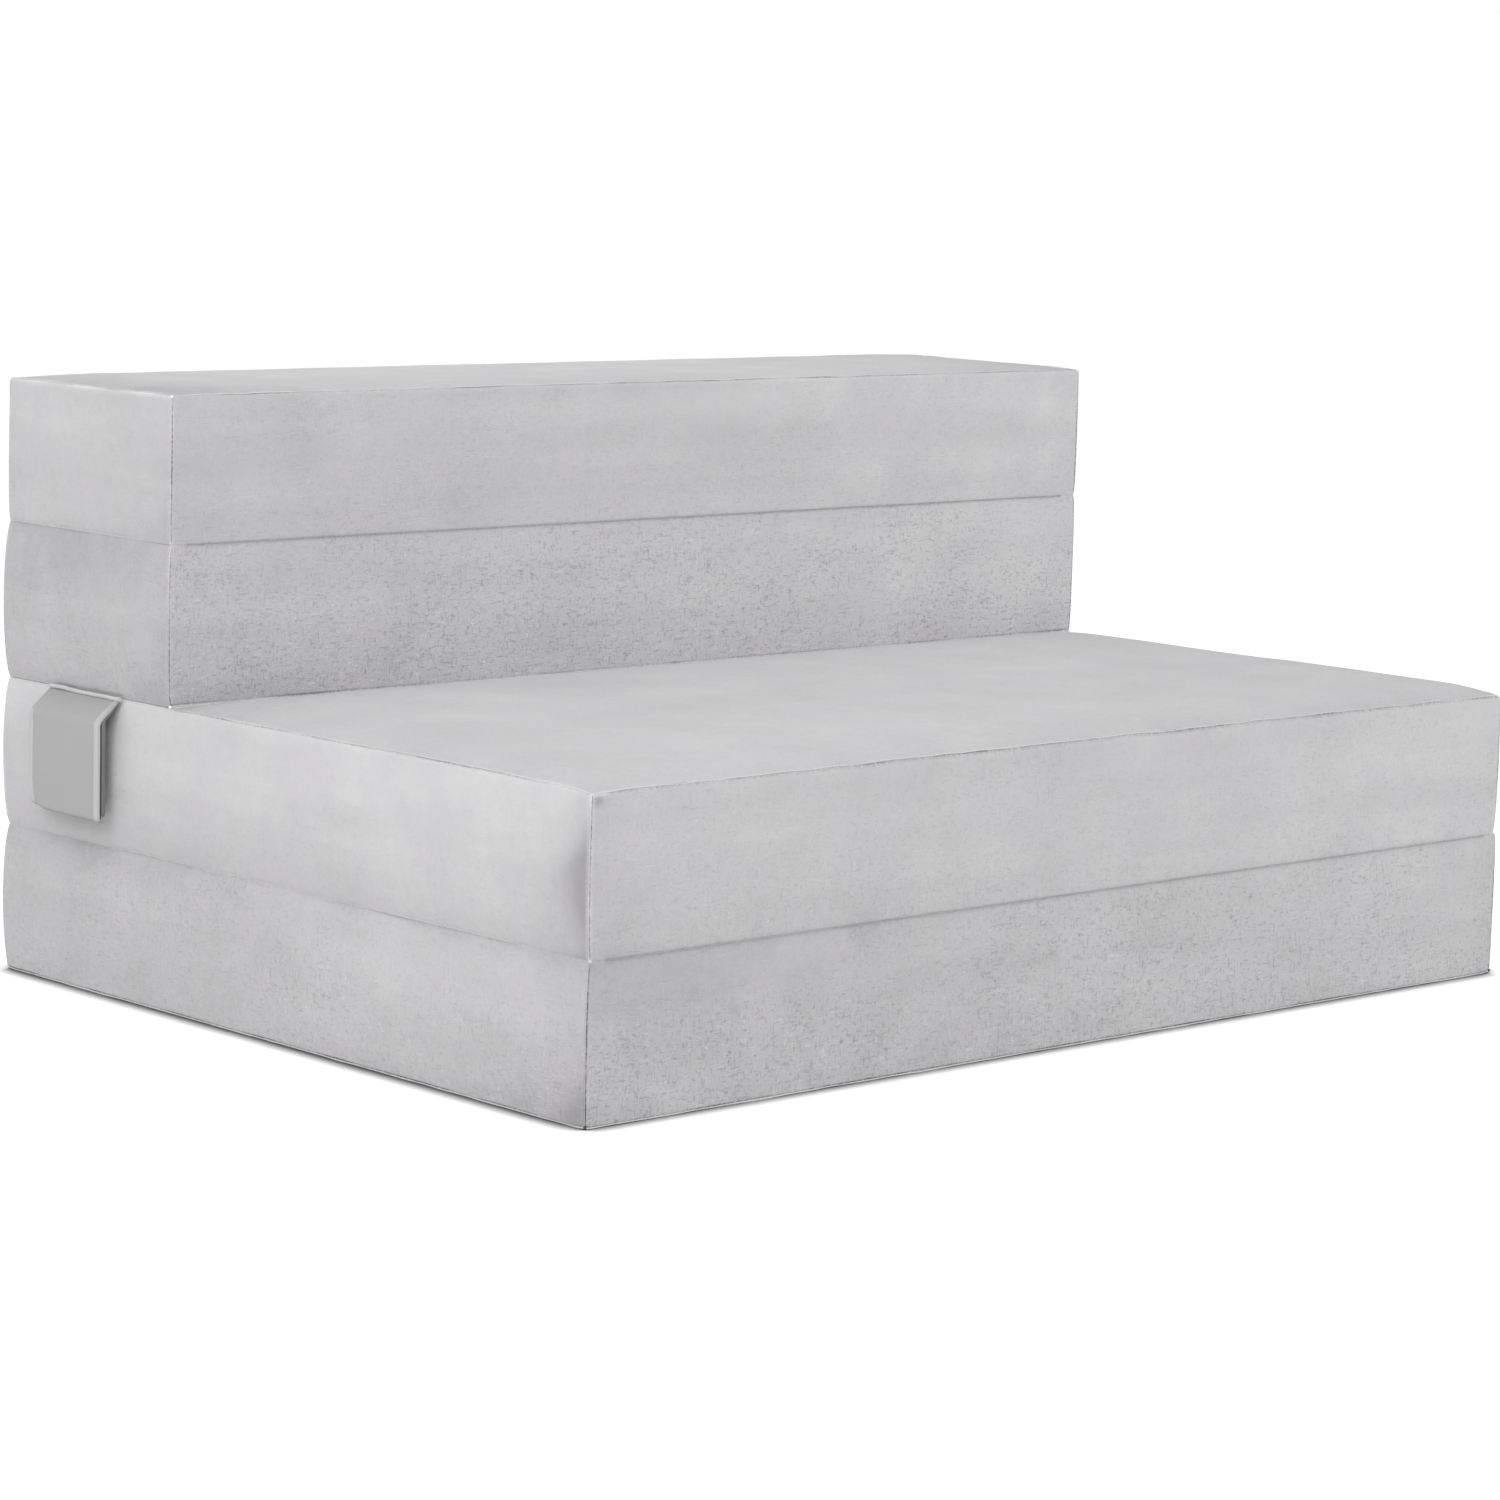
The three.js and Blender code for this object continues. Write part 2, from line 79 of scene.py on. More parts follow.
# The seat is fuller than its solid, and the top panel is flatter
CROWN_SWELLS_MM = {"seat": 2.8, "upper_back": -2.5}
BASE = read_panel("base", -1.0)
LOWER_BACK = read_panel("lower_back", -1.0)
SEAT = read_panel("seat", 1.0)._replace(crown_rear=LOWER_BACK.low.y - CROWN_BACK_MARGIN_MM)
UPPER_BACK = read_panel("upper_back", 1.0)
PANELS = (BASE, SEAT, LOWER_BACK, UPPER_BACK)
for panel in PANELS:
    sizes = [round(size, 1) for size in (panel.high.z - panel.low.z, panel.crown)]
    print(panel.name, "height and crown in mm:", sizes)

# %% [markdown]
# The camera stands where a fit to the corners of the object put it: low, in front and to the
# left, with a long lens. Its sensor is the usual 36 mm, and the slight roll is the horizon's tilt.

# %% Camera
CAMERA_PLACE_MM = Vector((-2436.8, -2614.7, 688.6))
CAMERA_YAW = math.radians(42.759)
CAMERA_PITCH = math.radians(8.126)
CAMERA_ROLL = math.radians(1.538)
FOCAL_LENGTH_PX = 4538.0
IMAGE_WIDTH_PX = 1500.0
SENSOR_MM = 36.0


def make_camera():
    forward = Vector((math.sin(CAMERA_YAW) * math.cos(CAMERA_PITCH),
                      math.cos(CAMERA_YAW) * math.cos(CAMERA_PITCH),
                      -math.sin(CAMERA_PITCH)))
    level_right = Vector((math.cos(CAMERA_YAW), -math.sin(CAMERA_YAW), 0.0))
    right = Matrix.Rotation(-CAMERA_ROLL, 3, forward) @ level_right
    up = right.cross(forward)
    data = bpy.data.cameras.new("camera")
    data.sensor_width = SENSOR_MM
    data.lens = FOCAL_LENGTH_PX / IMAGE_WIDTH_PX * SENSOR_MM
    camera = bpy.data.objects.new("camera", data)
    turn = Matrix((right, up, -forward)).transposed().to_4x4()
    camera.matrix_world = Matrix.Translation(CAMERA_PLACE_MM * MM) @ turn
    bpy.context.scene.collection.objects.link(camera)
    bpy.context.scene.camera = camera
    return camera


camera = make_camera()
print("lens in mm:", round(camera.data.lens, 1))

# %% [markdown]
# Colours are written as the sRGB hex values that a screen shows, and one function turns them to
# the linear values that a renderer needs. A second small function adds a node to a material,
# sets it and links it, so that a material reads like a list of what the finish is made of.

# %% Colour and node helpers


def srgb(code):
    channels = [int(code[place:place + 2], 16) / 255 for place in (1, 3, 5)]
    return tuple(c / 12.92 if c <= 0.04045 else ((c + 0.055) / 1.055) ** 2.4 for c in channels) + (1.0,)


def add_node(tree, kind, settings=None, inputs=None):
    node = tree.nodes.new(kind)
    for name, value in (settings or {}).items():
        setattr(node, name, value)
    for name, value in (inputs or {}).items():
        if isinstance(value, bpy.types.NodeSocket):
            tree.links.new(value, node.inputs[name])
        else:
            node.inputs[name].default_value = value
    return node


def new_finish(name, **sockets):
    material = bpy.data.materials.new(name)
    material.use_nodes = True
    shader = material.node_tree.nodes["Principled BSDF"]
    for socket, value in sockets.items():
        shader.inputs[socket.replace("_", " ")].default_value = value
    return material, material.node_tree, shader


def scaled_coordinates(tree, scale):
    coordinates = add_node(tree, "ShaderNodeTexCoord")
    mapping = add_node(tree, "ShaderNodeMapping", None,
                       {"Vector": coordinates.outputs["Object"], "Scale": scale})
    return mapping.outputs["Vector"]


def noise_of(tree, feature_mm, detail=2.0, stretch=(1.0, 1.0, 1.0), bend=0.0):
    vector = scaled_coordinates(tree, tuple(1.0 / (feature_mm * MM * side) for side in stretch))
    inputs = {"Vector": vector, "Scale": 1.0, "Detail": detail, "Distortion": bend}
    return add_node(tree, "ShaderNodeTexNoise", None, inputs).outputs["Fac"]


def calculate(tree, operation, *values, clamp=False):
    settings = {"operation": operation, "use_clamp": clamp}
    return add_node(tree, "ShaderNodeMath", settings, dict(enumerate(values))).outputs[0]


def times(tree, first, second):
    return calculate(tree, "MULTIPLY", first, second)


def plus(tree, first, second):
    return calculate(tree, "ADD", first, second)


def limited(tree, value, low, high):
    spread = add_node(tree, "ShaderNodeMapRange", {"interpolation_type": "SMOOTHSTEP"},
                      {"Value": value, "From Min": low, "From Max": high})
    return spread.outputs["Result"]


def weigh(tree, *terms):
    """Adds up (socket, weight) pairs, each measured from a noise's middle value of one half."""
    total = None
    for socket, weight in terms:
        centred = calculate(tree, "MULTIPLY_ADD", socket, weight, -0.5 * weight)
        total = centred if total is None else plus(tree, total, centred)
    return total


def mix_colours(tree, amount, first, second):
    mix = add_node(tree, "ShaderNodeMix", {"data_type": "RGBA"})
    for name, value in (("Factor_Float", amount), ("A_Color", first), ("B_Color", second)):
        socket = next(s for s in mix.inputs if s.identifier == name)
        if isinstance(value, bpy.types.NodeSocket):
            tree.links.new(value, socket)
        else:
            socket.default_value = value
    return next(s for s in mix.outputs if s.identifier == "Result_Color")


def attribute(tree, name):
    return add_node(tree, "ShaderNodeAttribute", {"attribute_name": name}).outputs["Fac"]


def between(tree, tone, light, dark):
    """The colour of a tone, which goes from the dark one at -0.5 to the light one at 0.5."""
    return mix_colours(tree, calculate(tree, "ADD", tone, 0.5, clamp=True), srgb(dark), srgb(light))


def dress(tree, shader, colour, height, depth_mm, strength):
    """Gives a finish its colour and its bump."""
    tree.links.new(colour, shader.inputs["Base Color"])
    bump = add_node(tree, "ShaderNodeBump", None,
                    {"Height": height, "Distance": depth_mm * MM, "Strength": strength})
    tree.links.new(bump.outputs["Normal"], shader.inputs["Normal"])


# %% [markdown]
# The cover is a short-pile velour, a brushed warp knit of polyester. Its pile scatters light,
# so it is fully matt with a faint sheen at grazing angles. Hands and folds lay the pile down in
# soft bands along the cloth and in patches, and single tufts show as a fine fuzz of light and
# dark hairs. Mixed yarns give a faint lilac in places. The shape also paints light and shade on
# the mesh: painted shade beside corners and under creases, seam marks of painted shade that are
# darker where a needle line holds shade, and a painted highlight on the seam ridges.

# %% Velour
HAIR_THIN_MM = 1.7
HAIR_STRETCH = 3.5
HAIR_BEND = 0.8
HAIR_LIGHTER = 0.2
HAIR_DARKER = 0.3
FUZZ_LEAST = 0.06
SPECK_MM, SPECK_SHARE = 1.5, 0.2
TUFT_MM, TUFT_SHARE = 9.0, 0.18
PATCH_MM, PATCH_SHARE = 75.0, 0.5
BAND_MM, BAND_SHARE = 26.0, 0.5
BAND_STRETCH = (14.0, 9.0, 1.0)
PILE_SHARE = 0.11
PAINTED_SHADING_SHARE = 0.35
TINT_MM, TINT_SHARE = 55.0, 0.35
DEEPEST_PAINTED_SHADE = 0.6
NEEDLE_MM, NEEDLE_LEAST = 2.4, 0.4
VELOUR_BUMP_MM = 0.5


def loose_hairs(tree, stretch):
    """Short bent strands that lie one way: where light ones show, and where dark ones show."""
    strand = noise_of(tree, HAIR_THIN_MM, 1.0, stretch, HAIR_BEND)
    return limited(tree, strand, 0.6, 0.7), limited(tree, strand, 0.4, 0.3)


def velour_finish(name, light, dark):
    material, tree, shader = new_finish(name, Roughness=0.95, Sheen_Weight=0.1, Sheen_Roughness=0.6)
    # One hair is far too fine to show, so a strand is drawn as thick as a loose clump of them
    level_light, level_dark = loose_hairs(tree, (HAIR_STRETCH, HAIR_STRETCH, 1.0))
    upright_light, upright_dark = loose_hairs(tree, (1.0, 1.0, HAIR_STRETCH))
    light_hairs = plus(tree, level_light, upright_light)
    dark_hairs = plus(tree, level_dark, upright_dark)
    fuzz = plus(tree, attribute(tree, "fuzz"), FUZZ_LEAST)
    tuft = noise_of(tree, TUFT_MM)
    tone = weigh(tree, (noise_of(tree, SPECK_MM), SPECK_SHARE), (tuft, TUFT_SHARE),
                 (noise_of(tree, PATCH_MM, 3.0), PATCH_SHARE),
                 (noise_of(tree, BAND_MM, 2.0, BAND_STRETCH), BAND_SHARE))
    # The second attribute is painted light and shade, added to the cloth's tone
    for name, share in (("pile", PILE_SHARE), ("painted_shading", PAINTED_SHADING_SHARE)):
        tone = plus(tree, tone, times(tree, attribute(tree, name), share))
    lilac = times(tree, limited(tree, noise_of(tree, TINT_MM), 0.42, 0.62), TINT_SHARE)
    lighter = times(tree, times(tree, light_hairs, fuzz), HAIR_LIGHTER)
    darker = times(tree, times(tree, dark_hairs, fuzz), HAIR_DARKER)
    # Where the painted shade is deepest, beside the corner seams, it is painted a deep brownish grey
    painted_deep_shade = times(tree, limited(tree, attribute(tree, "painted_shading"), -1.0, -3.0), DEEPEST_PAINTED_SHADE)
    # The seam mark is painted shade in the needle line, broken up along it
    needle = limited(tree, noise_of(tree, NEEDLE_MM, 1.0), 0.38, 0.58)
    broken = plus(tree, times(tree, needle, 1.0 - NEEDLE_LEAST), NEEDLE_LEAST)
    seam = times(tree, attribute(tree, "seam"), broken)
    cloth = between(tree, tone, light, dark)
    # Of the mixes below, the pale #E8E7E8 one is a painted highlight on the seam ridges
    for amount, colour in ((lilac, "#CBC6CB"), (lighter, "#F2F2F3"), (darker, "#808084"),
                           (painted_deep_shade, "#8C898A"), (attribute(tree, "rim"), "#E8E7E8"), (seam, "#656468")):
        cloth = mix_colours(tree, amount, cloth, srgb(colour))
    raised = times(tree, plus(tree, light_hairs, times(tree, dark_hairs, -1.0)), fuzz)
    dress(tree, shader, cloth, plus(tree, raised, tuft), VELOUR_BUMP_MM, 0.5)
    return material


VELOUR = velour_finish("painted_shading_velour", "#DCDCDD", "#B2B2B4")
print("finish:", VELOUR.name)

# %% [markdown]
# Sewing shows more cloths and some thread. The cord in an edge is the same knit pulled tight
# over its own seam allowance, so it is a little lighter and has no loose pile. The thread is a
# spun polyester, and the hinges are overcast with a darker one. The carry loop is a smooth woven
# polyester, which is darker and has a fine twill line instead of fuzz. Its hem is painted lighter
# as a highlight, a strip painted darker is the shade in its hollow, and its rolled end is painted
# light as a highlight. The hinge cloth is the knit's plain back, painted darker as shade in the crease.

# %% Sewing cloths and thread
KNIT_DEPTH_MM = 0.3
THREAD_MM = 0.5
THREAD_DEPTH_MM = 0.1
# The real twill line is about 0.4 mm, too fine to show, so it is drawn at this width
TWILL_MM = 0.9
TWILL_DEPTH_MM = 0.12


def plain_cloth(name, light, dark, grain_mm, grain_depth_mm=KNIT_DEPTH_MM, roughness=0.9):
    material, tree, shader = new_finish(name, Roughness=roughness, Sheen_Weight=0.08)
    grain = noise_of(tree, grain_mm)
    tone = weigh(tree, (grain, 0.8), (noise_of(tree, PATCH_MM), 0.8))
    dress(tree, shader, between(tree, tone, light, dark), grain, grain_depth_mm, 0.5)
    return material


def thread(name, light, dark):
    return plain_cloth(name, light, dark, THREAD_MM, THREAD_DEPTH_MM, 0.7)


def twill_cloth(name, light, dark):
    material, tree, shader = new_finish(name, Roughness=0.75, Sheen_Weight=0.1)
    inputs = {"Vector": scaled_coordinates(tree, (1.0, 1.0, 1.0)), "Scale": 0.5 / (TWILL_MM * MM),
              "Distortion": 0.6, "Detail": 1.0}
    wave = add_node(tree, "ShaderNodeTexWave", {"bands_direction": "DIAGONAL"}, inputs).outputs["Fac"]
    tone = weigh(tree, (wave, 0.35), (noise_of(tree, PATCH_MM), 0.6))
    # Painted shade: the loop is darkened at its root in the crease and on its foot, which faces down
    crease = times(tree, attribute(tree, "crease"), 0.45)
    cloth = mix_colours(tree, crease, between(tree, tone, light, dark), srgb("#8E8E8E"))
    dress(tree, shader, cloth, wave, TWILL_DEPTH_MM, 0.35)
    return material


EDGE_CORD = plain_cloth("tight_knit_cord", "#DEDEDF", "#CBCBCC", 1.6)
THREAD = thread("spun_polyester_thread", "#E4E4E5", "#B4B4B6")
HINGE_CLOTH_SHADED = plain_cloth("plain_knit_back", "#BCBCBE", "#8E8E92", 5.0)
HINGE_THREAD = thread("overcast_thread", "#C0C0C2", "#A2A2A5")
LOOP_CLOTH = twill_cloth("smooth_woven_polyester", "#B6B6B6", "#ABABAB")
LOOP_HIGHLIT_HEM = twill_cloth("turned_woven_hem_painted_highlight", "#CBCBCB", "#BFBFBF")
KNOT_THREAD = thread("knotted_thread_end", "#FDFDFD", "#F0F0F0")
CORNER_GAP_SHADE_BALL = thread("painted_corner_gap_shade", "#4A4A4C", "#303032")
LOOP_HOLLOW_SHADE = twill_cloth("painted_loop_hollow_shade", "#7E7E80", "#6C6C6E")
LOOP_ROLL_HIGHLIT = plain_cloth("rolled_loop_end_painted_highlight", "#DADADB", "#B9B9BA", 6.0)

# %% [markdown]
# Two kinds of foam and an inner sock lie in each cover, out of sight until the zip is opened.
# Cut polyurethane foam shows its open cells as fine pits, so a cell pattern drives both its
# colour and its bump. The firm support foam is cream, and the soft foam on top is pale blue.
# The sock is spun-bonded non-woven, pressed with a grid of small points.

# %% Foam and inner sock
FOAM_CELL_MM = 1.5
FOAM_PIT_MM = 0.5
SOCK_POINT_MM = 1.8


def foam_finish(name, light, dark, cell_mm):
    material, tree, shader = new_finish(name, Roughness=1.0)
    inputs = {"Vector": scaled_coordinates(tree, (1.0, 1.0, 1.0)), "Scale": 1.0 / (cell_mm * MM)}
    cells = add_node(tree, "ShaderNodeTexVoronoi", None, inputs).outputs["Distance"]
    dress(tree, shader, mix_colours(tree, cells, srgb(dark), srgb(light)), cells, FOAM_PIT_MM, 0.8)
    return material


FINISHES_INSIDE = {
    "support_foam": foam_finish("cut_support_foam", "#F5EFD8", "#DDD2AE", FOAM_CELL_MM),
    "comfort_foam": foam_finish("soft_comfort_foam", "#DEEAF5", "#B8CBDD", FOAM_CELL_MM),
    "liner": foam_finish("spun_bonded_sock", "#F3F3F0", "#DADAD6", SOCK_POINT_MM),
}
print("finishes inside the covers:", list(FINISHES_INSIDE))

# %% [markdown]
# Zip parts are of three finishes. The woven tape and the moulded teeth are plastics in the
# cloth's grey. The slider and its pull are die-cast zinc, plated and tumbled, so they are metal
# with a soft shine and faint blotches of roughness.

# %% Zip finishes
MOULDED_SPECK_MM = 3.0
PLATED_BLOTCH_MM = 4.0
CAST_DEPTH_MM = 0.05
ZIP_TAPE = twill_cloth("woven_zip_tape", "#A6A6AA", "#929296")


def moulded_finish(name, light, dark):
    material, tree, shader = new_finish(name, Roughness=0.45)
    speck = noise_of(tree, MOULDED_SPECK_MM)
    dress(tree, shader, mix_colours(tree, speck, srgb(dark), srgb(light)), speck, CAST_DEPTH_MM, 0.3)
    return material


def plated_finish(name, light, dark):
    material, tree, shader = new_finish(name, Metallic=1.0)
    blotch = noise_of(tree, PLATED_BLOTCH_MM, 3.0)
    rough = add_node(tree, "ShaderNodeMapRange", None, {"Value": blotch, "To Min": 0.28, "To Max": 0.46})
    tree.links.new(rough.outputs["Result"], shader.inputs["Roughness"])
    dress(tree, shader, mix_colours(tree, blotch, srgb(dark), srgb(light)), blotch, CAST_DEPTH_MM, 0.2)
    return material


ZIP_TEETH = moulded_finish("moulded_nylon_teeth", "#B4B4B8", "#A2A2A6")
ZINC = plated_finish("tumbled_plated_zinc", "#BDBDC0", "#9C9CA0")

# %% [markdown]
# Every finished bmesh takes the same last steps: scale to metres, make an object at the origin,
# shade it smooth and put it on its body. One function does that, so no piece forgets a step.
# Three more make a plain block, slice a mesh at places along an axis and bevel edges.

# %% Start, cut and finish a piece
SHARP_ANGLE = math.radians(50)


def plain_block(low, high):
    mesh = bmesh.new()
    bmesh.ops.create_cube(mesh, size=1.0)
    bmesh.ops.scale(mesh, vec=high - low, verts=mesh.verts)
    bmesh.ops.translate(mesh, vec=(low + high) / 2, verts=mesh.verts)
    return mesh


def slice_mesh(mesh, axis, places):
    normal = Vector((0.0, 0.0, 0.0))
    normal[axis] = 1.0
    for place in places:
        geometry = mesh.verts[:] + mesh.edges[:] + mesh.faces[:]
        bmesh.ops.bisect_plane(mesh, geom=geometry, dist=MM, plane_co=normal * place, plane_no=normal)


def bevel(mesh, edges, width, segments=2):
    bmesh.ops.bevel(mesh, geom=edges, offset=width, offset_type="OFFSET", affect="EDGES",
                    segments=segments, profile=0.5, material=-1, clamp_overlap=True)


def finish_piece(mesh, name, finish, body=None):
    bmesh.ops.scale(mesh, vec=Vector((MM, MM, MM)), verts=mesh.verts)
    data = bpy.data.meshes.new(name)
    mesh.to_mesh(data)
    mesh.free()
    data.materials.append(finish)
    data.shade_smooth()
    data.set_sharp_from_angle(angle=SHARP_ANGLE)
    piece = bpy.data.objects.new(name, data)
    bpy.context.scene.collection.objects.link(piece)
    if body:
        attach(piece, body)
    return piece


# %% [markdown]
# Foam has no sharp corners once a cover is pulled over it. Each layer is a block with its outer
# edges rounded over, while the edges where the two layers are glued stay square. Where the cover
# has a crown, the layer under it is raised too: its top face is inset and lifted. The sock is a
# rounded bag round both, left open at the end where the zip is.

# %% Foam layers and their sock
FOAM_ROUND_MM = 16.0
FOAM_CROWN_INSET_MM = 90.0
FOAM_CROWN_SHARE = 0.8
SOCK_WALL_MM = 0.5


def rounded_block(panel, low, high, glued_z=None):
    """A block with rounded edges, apart from those at the height where it is glued."""
    crown = panel.crown if high.z > panel.high.z else 0.0
    top = Vector((high.x, high.y, high.z - crown))
    mesh = plain_block(low, top)
    outer = [edge for edge in mesh.edges
             if glued_z is None or not all(abs(vert.co.z - glued_z) < MM for vert in edge.verts)]
    bevel(mesh, outer, FOAM_ROUND_MM, 4)
    if crown:
        slice_mesh(mesh, 1, [panel.crown_rear])
        raised = [face for face in mesh.faces if all(vert.co.z > top.z - MM for vert in face.verts)
                  and face.calc_center_median().y < panel.crown_rear]
        bmesh.ops.inset_region(mesh, faces=raised, thickness=FOAM_CROWN_INSET_MM, use_boundary=True)
        lifted = {vert for face in raised for vert in face.verts}
        rise = (crown + min(0.0, CROWN_SWELLS_MM[panel.name])) * FOAM_CROWN_SHARE
        bmesh.ops.translate(mesh, vec=(0.0, 0.0, rise), verts=list(lifted))
    return mesh


def make_foam(panel, layer, other):
    low, high = box_mm(f"{panel.name}_{layer}")
    other_low, _ = box_mm(f"{panel.name}_{other}")
    mesh = rounded_block(panel, low, high, high.z if other_low.z > low.z else low.z)
    piece = finish_piece(mesh, f"{panel.name}_{layer}_block", FINISHES_INSIDE[layer], panel.name)
    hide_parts(f"{panel.name}_{layer}")


def make_sock(panel):
    low, high = box_mm(f"{panel.name}_liner")
    mesh = rounded_block(panel, low, high)
    open_end = [face for face in mesh.faces if all(vert.co.x > high.x - MM for vert in face.verts)]
    bmesh.ops.delete(mesh, geom=open_end, context="FACES")
    piece = finish_piece(mesh, f"{panel.name}_sock", FINISHES_INSIDE["liner"], panel.name)
    wall = piece.modifiers.new("wall", "SOLIDIFY")
    wall.thickness = SOCK_WALL_MM * MM
    wall.offset = -1.0
    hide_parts(f"{panel.name}_liner")


for panel in PANELS:
    make_foam(panel, "support_foam", "comfort_foam")
    make_foam(panel, "comfort_foam", "support_foam")
    make_sock(panel)
print("layers inside the covers:", len(PANELS) * len(FINISHES_INSIDE))

# %% [markdown]
# A cover starts as a plain block of the panel's size, sliced by planes. The slices lie close
# together at the edges, where the cloth rounds and the seams run, and wide apart in the middle.
# Slicing keeps every face a clean rectangle, which later swells and simulates evenly. Voxel
# remeshing would also do it, but it would lose the fine rows that hold the seams.

# %% Slice a block
EDGE_ROWS_MM = (0.45, 0.85, 1.15, 1.45, 1.75, 2.2, 3.0, 4.4, 6.4, 9.2, 13.0, 19.0, 28.0)
FACE_PITCH_MM = 11.0
SLIT_HALF_MM = 3.5
SLIT_ROWS_MM = (SLIT_HALF_MM - 0.7, SLIT_HALF_MM, SLIT_HALF_MM + 0.8, SLIT_HALF_MM + 3.0)


def slice_places(low, high):
    near_edges = [low + row for row in EDGE_ROWS_MM] + [high - row for row in EDGE_ROWS_MM]
    first = low + EDGE_ROWS_MM[-1]
    length = high - low - EDGE_ROWS_MM[-1] * 2
    steps = max(1, round(length / FACE_PITCH_MM))
    return near_edges + [first + length * step / steps for step in range(1, steps)]


def sliced_block(low, high, extra_heights):
    mesh = plain_block(low, high)
    for axis in range(3):
        places = slice_places(low[axis], high[axis])
        slice_mesh(mesh, axis, places + extra_heights if axis == 2 else places)
    return mesh


# %% [markdown]
# Which edges are which. Four long edges carry a hinge, some edges lie against the next panel,
# and the rest are open to the air. An open edge is soft and round. An edge that meets another
# stays narrow, and a small lip closes the gap between the two, so the crease between two panels
# reads as a soft fold of light and not as a black line.

# %% Kinds of edges
OPEN_EDGE_MM = 4.0
HINGE_EDGE_MM = 0.5
FOOT_EDGE_MM = 2.6
WELT_EDGE_MM = 1.5
CORNER_EDGE_MM = 2.2
MEETING_EDGE_MM = 0.5
MEETING_FADE_MM = 12.0
LIP_MM = 0.42
LIP_REACH_MM = 1.0
FRONT, REAR, BOTTOM, TOP = "front", "rear", "bottom", "top"
HINGE_EDGES = {
    "base": {(FRONT, TOP)},
    "seat": {(FRONT, BOTTOM), (REAR, TOP)},
    "lower_back": {(REAR, BOTTOM), (FRONT, TOP)},
    "upper_back": {(FRONT, BOTTOM)},
}
MEETING_SIDES = {
    "base": {TOP},
    "seat": {BOTTOM},
    "lower_back": {BOTTOM, TOP},
    "upper_back": {BOTTOM},
}
WELT_EDGE = ("lower_back", FRONT, BOTTOM)


def sides_and_depths(panel, point):
    """Which long face and which flat face a point is nearest to, and how deep it lies below the
    end and below each of those two."""
    low, high = panel.low, panel.high
    side_y = FRONT if point.y < (low.y + high.y) / 2 else REAR
    side_z = BOTTOM if point.z < (low.z + high.z) / 2 else TOP
    depth_y = min(point.y - low.y, high.y - point.y)
    depth_z = min(point.z - low.z, high.z - point.z)
    return side_y, side_z, (high.x - abs(point.x), depth_y, depth_z)


def smooth_share(value, low, high):
    share = min(1.0, max(0.0, (value - low) / (high - low)))
    return share * share * (3.0 - 2.0 * share)


def bell(value, middle, width):
    return math.exp(-((value - middle) / width) ** 2)


def wave_at(along, pitch, seed):
    return noise.noise(Vector((along / pitch, seed, 0.5)))


def openness(panel, side_z, y):
    """1 where an end's edge lies open, down to 0 where the next panel lies against it."""
    if side_z in MEETING_SIDES[panel.name]:
        return 0.0
    if panel.crown_rear < panel.high.y and side_z == TOP:
        return 1.0 - smooth_share(y, panel.crown_rear - MEETING_FADE_MM, panel.crown_rear + MEETING_FADE_MM)
    return 1.0


def long_edge_radius(panel, side_y, side_z):
    if (side_y, side_z) in HINGE_EDGES[panel.name]:
        return HINGE_EDGE_MM
    if (panel.name, side_y, side_z) == WELT_EDGE:
        return WELT_EDGE_MM
    if side_z in MEETING_SIDES[panel.name]:
        return MEETING_EDGE_MM
    return FOOT_EDGE_MM if side_z == BOTTOM else OPEN_EDGE_MM


def round_pair(first, second, radius):
    """Two depths below two faces that meet: near their edge they are drawn onto an arc."""
    if first >= radius or second >= radius:
        return first, second
    across, along = radius - first, radius - second
    scale = max(across, along) / math.hypot(across, along)
    return radius - across * scale, radius - along * scale


# %% [markdown]
# A sewn edge seen across: the seam allowances inside push up a narrow ridge, the needle line
# beside it cuts in as a fine crevice, and on an open top the cloth dips in a shallow valley
# behind the ridge. The crevice also gets a mark of painted shade. Nobody sews evenly, so the
# strength of all three wanders along the seam.

# %% The profile of a seam
RIDGE_WIDTH_MM = 0.9
CREVICE_AT_MM = 1.45
OTHER_CREVICE_AT_MM = CREVICE_AT_MM + 0.3
CREVICE_WIDTH_MM = 0.55
VALLEY_AT_MM = 8.0
VALLEY_WIDTH_MM = 6.0
SEAM_END_FADE_MM = 3.0
Seam = namedtuple("Seam", "ridge crevice valley mark width", defaults=(CREVICE_WIDTH_MM,))
SEAM_LEAST = 0.2
CORNER_LEAST = 0.25
SEAT_FRONT_LEAST = 0.5
SEAT_FRONT_GAIN = 0.3
SEAT_FRONT_EDGE = ("seat", FRONT, TOP)
SEAT_FRONT_SEAM = Seam(0.35, 0.8, 1.4, 0.65, 1.6)
FOLD_REACH_MM = 20.0
CORNER_SEAMS = {
    "base": Seam(0.15, 0.9, 0.0, 1.25),
    "seat": Seam(0.5, 1.0, 0.0, 0.95),
    "lower_back": Seam(0.3, 0.8, 0.0, 1.05),
    "upper_back": Seam(0.3, 0.9, 0.0, 1.1),
}
OPEN_TOP_SEAM = Seam(0.35, 0.8, 1.4, 0.6)
ROLLED_TOP_SEAM = Seam(0.7, 0.2, 2.4, 0.1)
FOOT_SEAM = Seam(0.2, 0.7, 0.0, 1.3)
WELT_SEAM = Seam(1.1, 0.7, 0.0, 0.5)
END_MEETING_SEAM = Seam(0.0, 0.15, 0.0, 0.1)
NO_SEAM = Seam(0.0, 0.0, 0.0, 0.0)


